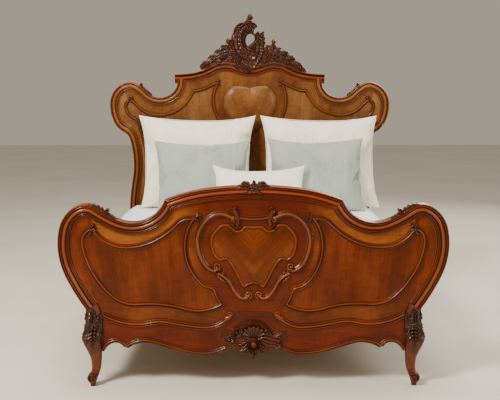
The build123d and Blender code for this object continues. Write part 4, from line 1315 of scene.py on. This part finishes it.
def fill_with_air(obj, pressure, frames, limit, pins=(), stiffness=15.0, bending=0.4):
    """Blow a sewn cover up as cloth for some frames. No point moves further than the limit.
    """
    rest = coordinates(obj.data)
    cover = obj.modifiers.new("Cloth", "CLOTH")
    settings = cover.settings
    settings.quality = 6
    settings.mass = 0.25
    settings.tension_stiffness = stiffness
    settings.compression_stiffness = stiffness
    settings.shear_stiffness = stiffness / 3
    settings.bending_stiffness = bending
    settings.use_pressure = True
    settings.uniform_pressure_force = pressure
    settings.effector_weights.gravity = 0
    cover.collision_settings.use_collision = False
    if len(pins):
        group = obj.vertex_groups.new(name="sewn_down")
        group.add([int(v) for v in pins], 1.0, "REPLACE")
        settings.vertex_group_mass = group.name
    cover.point_cache.frame_end = frames
    scene = bpy.context.scene
    for frame_number in range(1, frames + 1):
        scene.frame_set(frame_number)
    blown = coordinates(obj.evaluated_get(bpy.context.evaluated_depsgraph_get()).data)
    obj.modifiers.remove(cover)
    obj.vertex_groups.clear()
    scene.frame_set(1)
    move = blown - rest
    reach = np.linalg.norm(move, axis=1, keepdims=True)
    return rest + move * np.minimum(1, limit / np.maximum(reach, 1e-9))


def finish_soft(obj, points, body, node, slot):
    obj.data.vertices.foreach_set("co", np.asarray(points, float).ravel())
    work = bmesh.new()
    work.from_mesh(obj.data)
    bmesh.ops.recalc_face_normals(work, faces=work.faces)
    work.to_mesh(obj.data)
    work.free()
    obj.data.shade_smooth()
    smooth = obj.modifiers.new("Subdivision", "SUBSURF")
    smooth.levels = 1
    smooth.render_levels = 1
    smooth_mesh = bpy.data.meshes.new_from_object(obj.evaluated_get(bpy.context.evaluated_depsgraph_get()))
    obj.modifiers.remove(smooth)
    obj.data = smooth_mesh
    obj.data.shade_smooth()
    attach(obj, body)
    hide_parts(node)


def sewn_cover(columns, rows):
    """Two sheets of cells sewn together round the rim: (u, v, side) points, faces and the rim.

    U and v go from 0 to 1, and side is 1 on the front and -1 on the back.
    """
    front = np.arange((columns + 1) * (rows + 1)).reshape(rows + 1, columns + 1)
    back = front.copy()
    back[1:-1, 1:-1] = front.size + np.arange((columns - 1) * (rows - 1)).reshape(rows - 1, columns - 1)
    u, v = np.meshgrid(np.linspace(0, 1, columns + 1), np.linspace(0, 1, rows + 1))
    on_front = np.stack([u.ravel(), v.ravel(), np.ones(u.size)], 1)
    on_back = np.stack([u[1:-1, 1:-1].ravel(), v[1:-1, 1:-1].ravel(), -np.ones(back[1:-1, 1:-1].size)], 1)
    faces = []
    for grid, flip in ((front, False), (back, True)):
        for j in range(rows):
            for i in range(columns):
                face = [int(v) for v in (*grid[j, i : i + 2], *grid[j + 1, i : i + 2][::-1])]
                faces.append(face[::-1] if flip else face)
    rim = [*front[0], *front[1:, -1], *front[-1, -2::-1], *front[-2:0:-1, 0]]
    return np.vstack([on_front, on_back]), faces, [int(v) for v in rim]


def tube(path, radius, sides=8):
    """Vertices and faces of a round cord along a closed path of points."""
    way = np.roll(path, -1, axis=0) - np.roll(path, 1, axis=0)
    way /= np.linalg.norm(way, axis=1, keepdims=True)
    helper = np.where(np.abs(way[:, 1:2]) > 0.9, [[0, 0, 1.0]], [[0, 1.0, 0]])
    across = np.cross(way, helper)
    across /= np.linalg.norm(across, axis=1, keepdims=True)
    over = np.cross(way, across)
    turn = np.linspace(0, 2 * pi, sides, endpoint=False)
    ring = across[:, None] * np.cos(turn)[None, :, None] + over[:, None] * np.sin(turn)[None, :, None]
    points = (path[:, None] + radius * ring).reshape(-1, 3)
    return points, ring_faces(len(path), sides, closed=True)


LEAN = radians(20)
CELL = 0.0105
# How much a leaning pillow's thickness adds to its depth in Y, as a share of that thickness.
TIP_BACK = cos(LEAN) - 1.4 * sin(LEAN)
# Height over which a pillow's underside is pressed flat.
PRESSED = 0.012


def pillow(name, node, body, material, slot, pressure, sag, pull, narrow, seed):
    """A pillow: two squares of cloth sewn together, blown up, and leant back on what is behind it.

    Sag is how far the middle of its top edge drops, in metres. Pull is how far its sides and its
    ends draw in between the corners, and narrow how much shorter its lower edge is, as shares.
    """
    low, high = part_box(node)
    size = high - low
    width = size.x
    height = size.z / cos(LEAN)
    thick = (size.y - height * sin(LEAN)) / TIP_BACK
    lower_edge_y = low.y + 0.5 * thick * TIP_BACK
    columns, rows = round(width / CELL), round(height / CELL)
    cells, faces, rim = sewn_cover(columns, rows)
    u, v = cells[:, 0] * 2 - 1, cells[:, 1] * 2 - 1
    crown = (1 - u**4) * (1 - v**4)
    wobble = 0.06 * np.sin(5 * u + seed) * np.cos(4 * v + 2 * seed)
    start_x = u * width / 2 * (1 - 0.03 * (1 - v**2))
    start_y = -cells[:, 2] * thick * (0.3 + wobble) * crown
    start_z = v * height / 2 * (1 - 0.03 * (1 - u**2))
    obj = soft_mesh(name, np.stack([start_x, start_y, start_z], 1), faces, material)
    shape = fill_with_air(obj, pressure, 24, 0.09)
    # Its four edges pull in between the corners, by no more than the photographed pillows do.
    half_wide = width / 2 * (1 - pull[0] * (1 - np.abs(v) ** 3)) * (1 - narrow * (1 - v) / 2)
    half_high = height / 2 * (1 - pull[1] * (1 - np.abs(u) ** 3))
    row = np.round((v + 1) / 2 * rows).astype(int)
    column = np.round((u + 1) / 2 * columns).astype(int)
    for axis, line, lines, reach in ((0, row, rows, half_wide), (2, column, columns, half_high)):
        greatest = np.array([shape[line == i, axis].max() for i in range(lines + 1)])
        least = np.array([shape[line == i, axis].min() for i in range(lines + 1)])
        shape[:, axis] *= reach / np.where(shape[:, axis] > 0, greatest[line], -least[line])
    shape[:, 1] *= thick * 0.98 / np.ptp(shape[:, 1])
    rise = (shape[:, 2] + height / 2) / height
    share = np.clip(shape[:, 0] / (width / 2), -1, 1)
    # The filling settles: the top edge sags between its corners and the belly drops.
    shape[:, 2] -= sag * (1 - share**2) * (1 + 0.5 * sin(seed) * share) * rise**2
    # Gathers run in from the seams, and soft ripples hang down the face.
    along_seam = np.where(np.abs(u) > np.abs(v), shape[:, 2], shape[:, 0])
    from_seam = np.minimum((1 - np.abs(u)) * width, (1 - np.abs(v)) * height) / 2
    gather = np.sin(along_seam / 0.0085 + 2 * np.sin(along_seam / 0.027 + seed))
    gather = gather * np.exp(-from_seam / 0.035)
    ripple = np.sin(shape[:, 0] / 0.0078 + 1.6 * np.sin(shape[:, 2] / 0.06 + seed) + seed)
    near_seam = np.clip(from_seam / 0.012, 0, 1)
    on_face = np.clip(from_seam / 0.05, 0, 1)
    creases = 0.0026 * gather * near_seam + 0.0013 * ripple * on_face
    shape[:, 1] += np.sign(shape[:, 1]) * creases
    shape[:, 1] *= 1.0 + 0.22 * np.sin(pi * np.clip(rise, 0, 1)) * (0.5 - rise)
    up = shape[:, 2] + height / 2
    y = lower_edge_y + up * sin(LEAN) + shape[:, 1] * cos(LEAN)
    z = low.z + up * cos(LEAN) - shape[:, 1] * sin(LEAN)
    # It stands on the duvet: what would be lower is pressed flat and pushed out a little.
    rest = low.z + 0.0008
    pressed = np.maximum(rest + PRESSED - z, 0)
    flattened = rest + PRESSED * np.exp((z - rest - PRESSED) / PRESSED)
    z = np.where(z < rest + PRESSED, flattened, z)
    x = (low.x + high.x) / 2 + shape[:, 0] * (1 + 0.3 * pressed)
    placed = np.stack([x, y, z], 1)
    finish_soft(obj, placed, body, node, slot)
    seam_points, seam_faces = tube(placed[rim], 0.0018)
    piece(name + "_seam", seam_points, seam_faces, material, sharp=180, body=body, slot=slot)


WHITE = (white_linen, "white_linen", 4.0)
SAGE = (sage_linen, "sage_linen", 4.5)
pillow("euro_pillow_right", "pillow_white_right", "white_pillow_right", *WHITE, 0.016, (0.10, 0.07), 0.0, 0.9)
pillow("euro_pillow_left", "pillow_white_left", "white_pillow_left", *WHITE, 0.018, (0.10, 0.06), 0.06, 1.9)
pillow("sage_pillow_cover_right", "pillow_sage_right", "sage_pillow_right", *SAGE, 0.014, (0.08, 0.08),
       0.0, 3.6)
pillow("sage_pillow_cover_left", "pillow_sage_left", "sage_pillow_left", *SAGE, 0.012, (0.08, 0.08),
       0.09, 2.6)
pillow("small_pillow_cover", "pillow_small", "small_pillow", small_linen, "white_linen", 5.0, 0.014,
       (0.07, 0.2), 0.05, 5.5)


def duvet():
    """The duvet: a thin quilt over the mattress whose long sides hang in soft folds."""
    low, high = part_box("duvet")
    thick = 0.020
    round_off = 0.090
    within = 0.012
    margin = 0.004
    middle = high.z - within
    flat = high.x - within - round_off
    bend = round_off * pi / 2
    drop = middle - round_off - low.z
    half = flat + bend + drop
    cells, faces, rim = sewn_cover(96, 84)
    s = (cells[:, 0] * 2 - 1) * (half - 0.006)
    y = low.y + margin + cells[:, 1] * (high.y - low.y - 2 * margin)
    far = np.abs(s)
    angle = np.clip((far - flat) / round_off, 0, pi / 2)
    # The shoulders slope more than a quarter circle would.
    turned = angle / (pi / 2)
    shoulder_x = 0.45 * np.sin(angle) + 0.55 * turned
    shoulder_z = 0.45 * (1 - np.cos(angle)) + 0.55 * turned
    x = np.where(far < flat, far, flat + round_off * shoulder_x)
    z = np.where(far < flat, middle, middle - round_off * shoulder_z)
    z = z - np.maximum(far - flat - bend, 0)
    normal = np.stack([np.sin(angle), np.cos(angle)], 1)
    edge = np.minimum(half - far, 0.5 * (high.y - low.y) - np.abs(y - (low.y + high.y) / 2))
    puff = thick / 2 * np.sqrt(np.clip(edge / 0.02, 0, 1)) * cells[:, 2]
    hang = np.clip((far - flat - 0.03) / (bend + drop - 0.03), 0, 1) ** 1.5
    side = np.sign(s)
    fold_spacing = 0.33
    wander = 1.4 * np.sin(2 * pi * y / 1.1 + side)
    fold = 0.5 + 0.5 * np.sin(2 * pi * y / fold_spacing + wander + side * 0.7)
    out = puff + hang * 0.022 * fold
    calm = np.clip((0.42 - y) / 0.15, 0, 1)
    ripple = 0.003 * calm * np.sin(7 * x + 2.2 * np.sin(5 * y)) * np.sin(9 * y + 1.7 * side)
    z = z + normal[:, 1] * (out + np.minimum(ripple, 0.002)) - hang * 0.006 * fold
    x = (x + normal[:, 0] * out) * np.where(s == 0, 1, side)
    obj = soft_mesh("quilted_duvet", np.stack([x, y, z], 1), faces, white_cotton)
    shape = fill_with_air(obj, 1.2, 14, 0.006, stiffness=8.0, bending=0.15)
    on_top = np.abs(shape[:, 0]) < flat
    ceiling = high.z - 0.0003 + 0.006 * np.clip((0.36 - shape[:, 1]) / 0.12, 0, 1)
    shape[:, 2] = np.where(on_top, np.minimum(shape[:, 2], ceiling), shape[:, 2])
    shape[:, 2] = np.maximum(shape[:, 2], low.z + 0.002)
    shape[:, 1] = np.clip(shape[:, 1], low.y, high.y)
    # The inner face stays above the mattress.
    lining = high.z - 0.024 + 0.0006
    shape[:, 2] = np.where(on_top, np.maximum(shape[:, 2], lining), shape[:, 2])
    finish_soft(obj, shape, "duvet", "duvet", "white_cotton")
    seam_points, seam_faces = tube(shape[rim], 0.0016)
    piece("duvet_seam", seam_points, seam_faces, white_cotton, sharp=180, body="duvet", slot="white_cotton")


def box_cells(nx, ny, nz):
    """The surface of a box of cells: lattice points from 0 to 1, and faces."""
    counts = (nx, ny, nz)
    ids, points, faces = {}, [], []
    for axis, across, up in ((2, 0, 1), (1, 0, 2), (0, 1, 2)):
        for level in (0, counts[axis]):
            for i in range(counts[across]):
                for j in range(counts[up]):
                    face = []
                    for di, dj in ((0, 0), (1, 0), (1, 1), (0, 1)):
                        at = [level, level, level]
                        at[across] = i + di
                        at[up] = j + dj
                        at = tuple(at)
                        if at not in ids:
                            ids[at] = len(points)
                            points.append((at[0] / nx, at[1] / ny, at[2] / nz))
                        face.append(ids[at])
                    faces.append(face)
    return np.array(points), faces


def mattress():
    """A tufted mattress with piped edges: its cover bulges between the tufts and the piping."""
    low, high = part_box("mattress")
    low, high = np.array(low), np.array(high)
    margin = 0.004
    tufts_across, tufts_along = 6, 8
    tuft_depth = 0.010
    nx, ny, nz = 54, 74, 9
    cells, faces = box_cells(nx, ny, nz)
    size = high - low - 2 * margin
    place = low + margin + cells * size
    corner = np.array([0.055, 0.055, 0.028])
    inner = np.clip(place, low + margin + corner, high - margin - corner)
    away = (place - inner) / corner
    length = np.maximum(np.linalg.norm(away, axis=1, keepdims=True), 1)
    outside = np.abs(away).max(1, keepdims=True) > 1e-9
    place = np.where(outside, inner + away / length * corner, place)
    tuft_u = (np.arange(tufts_across) + 0.5) / tufts_across
    tuft_v = (np.arange(tufts_along) + 0.5) / tufts_along
    column = np.abs(cells[:, :1] - tuft_u).min(1) < 0.55 / nx
    row = np.abs(cells[:, 1:2] - tuft_v).min(1) < 0.55 / ny
    tufts = column & row & ((cells[:, 2] == 0) | (cells[:, 2] == 1))
    place[tufts, 2] += np.where(cells[tufts, 2] > 0.5, -tuft_depth, tuft_depth)
    around = (cells[:, 0] == 0) | (cells[:, 0] == 1) | (cells[:, 1] == 0) | (cells[:, 1] == 1)
    level = np.round(cells[:, 2] * nz)
    piped = [around & (level == 1), around & (level == nz - 1)]
    obj = soft_mesh("tufted_mattress", place, faces, ticking)
    pins = np.flatnonzero(tufts | piped[0] | piped[1])
    shape = fill_with_air(obj, 2.5, 14, 0.009, pins=pins, stiffness=10.0)
    shape = np.clip(shape, low + 0.0006, high - 0.0006)
    finish_soft(obj, shape, "mattress", "mattress", "mattress_ticking")
    cords = []
    for ring in map(np.flatnonzero, piped):
        angle = np.arctan2(shape[ring, 1] - (low[1] + high[1]) / 2, shape[ring, 0])
        ring = ring[np.argsort(angle)]
        cords.append(tube(np.clip(shape[ring], low + margin, high - margin), 0.0038))
    points = np.vstack([cord[0] for cord in cords])
    faces = cords[0][1] + [tuple(v + len(cords[0][0]) for v in face) for face in cords[1][1]]
    piece("mattress_piping", points, faces, ticking, sharp=180, body="mattress", slot="mattress_ticking")


duvet()
mattress()


# ---- Stage ----------------------------------------------------------------------------------------
FLOOR_HALF = 14.0
LAMP_COLOUR = (1.0, 0.93, 0.82)
# Each lamp: name, place, what it points at, size in metres, power in watts.
LAMPS = (
    ("key", (-2.7, -3.9, 4.1), (0, 0, 0.6), 1.3, 410),
    ("fill", (3.6, -3.4, 2.4), (0, 0, 0.6), 2.2, 85),
    ("top", (0.0, 0.2, 4.2), (0, 0.4, 0.6), 2.6, 128),
    ("back", (2.4, 4.2, 3.0), (0, 0, 0.8), 2.6, 110),
)
CAMERA_PLACE = (-0.060, -5.820, 1.439)
CAMERA_LENS = 78.18
CAMERA_DOWN = 7.055
CAMERA_TURN = -0.5166


def stage():
    """Plain pale floor, soft studio lights and the camera."""
    scene = bpy.context.scene
    h = FLOOR_HALF
    floor_mesh = bpy.data.meshes.new("floor")
    floor_mesh.from_pydata([(-h, -h, 0), (h, -h, 0), (h, h, 0), (-h, h, 0)], [], [(0, 1, 2, 3)])
    floor = bpy.data.objects.new("floor", floor_mesh)
    scene.collection.objects.link(floor)
    t = Tree("pale_floor", Roughness=0.75)
    clouds = t.noise(t.node("TexCoord", {}, OBJECT_SPACE), (1.5, 1.5, 1.5))
    colour = t.ramp(clouds, [(0.3, linear(214, 208, 198)), (0.7, linear(224, 219, 210))])
    t.fill(t.shader, {"Base Color": colour})
    floor_mesh.materials.append(t.material)
    world = bpy.data.worlds.new("studio")
    scene.world = world
    world.use_nodes = True
    background = world.node_tree.nodes["Background"]
    background.inputs["Color"].default_value = linear(236, 222, 200)
    background.inputs["Strength"].default_value = 0.5
    for name, place, target, size, power in LAMPS:
        light = bpy.data.objects.new(name, bpy.data.lights.new(name, "AREA"))
        light.data.size = size
        light.data.energy = power
        light.data.color = LAMP_COLOUR
        light.location = place
        x, y, z = np.array(target) - np.array(place)
        light.rotation_euler = (atan2(hypot(x, y), -z), 0, atan2(-x, y))
        scene.collection.objects.link(light)
    camera = bpy.data.objects.new("camera", bpy.data.cameras.new("camera"))
    camera.data.lens = CAMERA_LENS
    camera.data.sensor_width = 36
    camera.location = CAMERA_PLACE
    camera.rotation_euler = (radians(90 - CAMERA_DOWN), 0, radians(CAMERA_TURN))
    scene.collection.objects.link(camera)
    scene.camera = camera


stage()
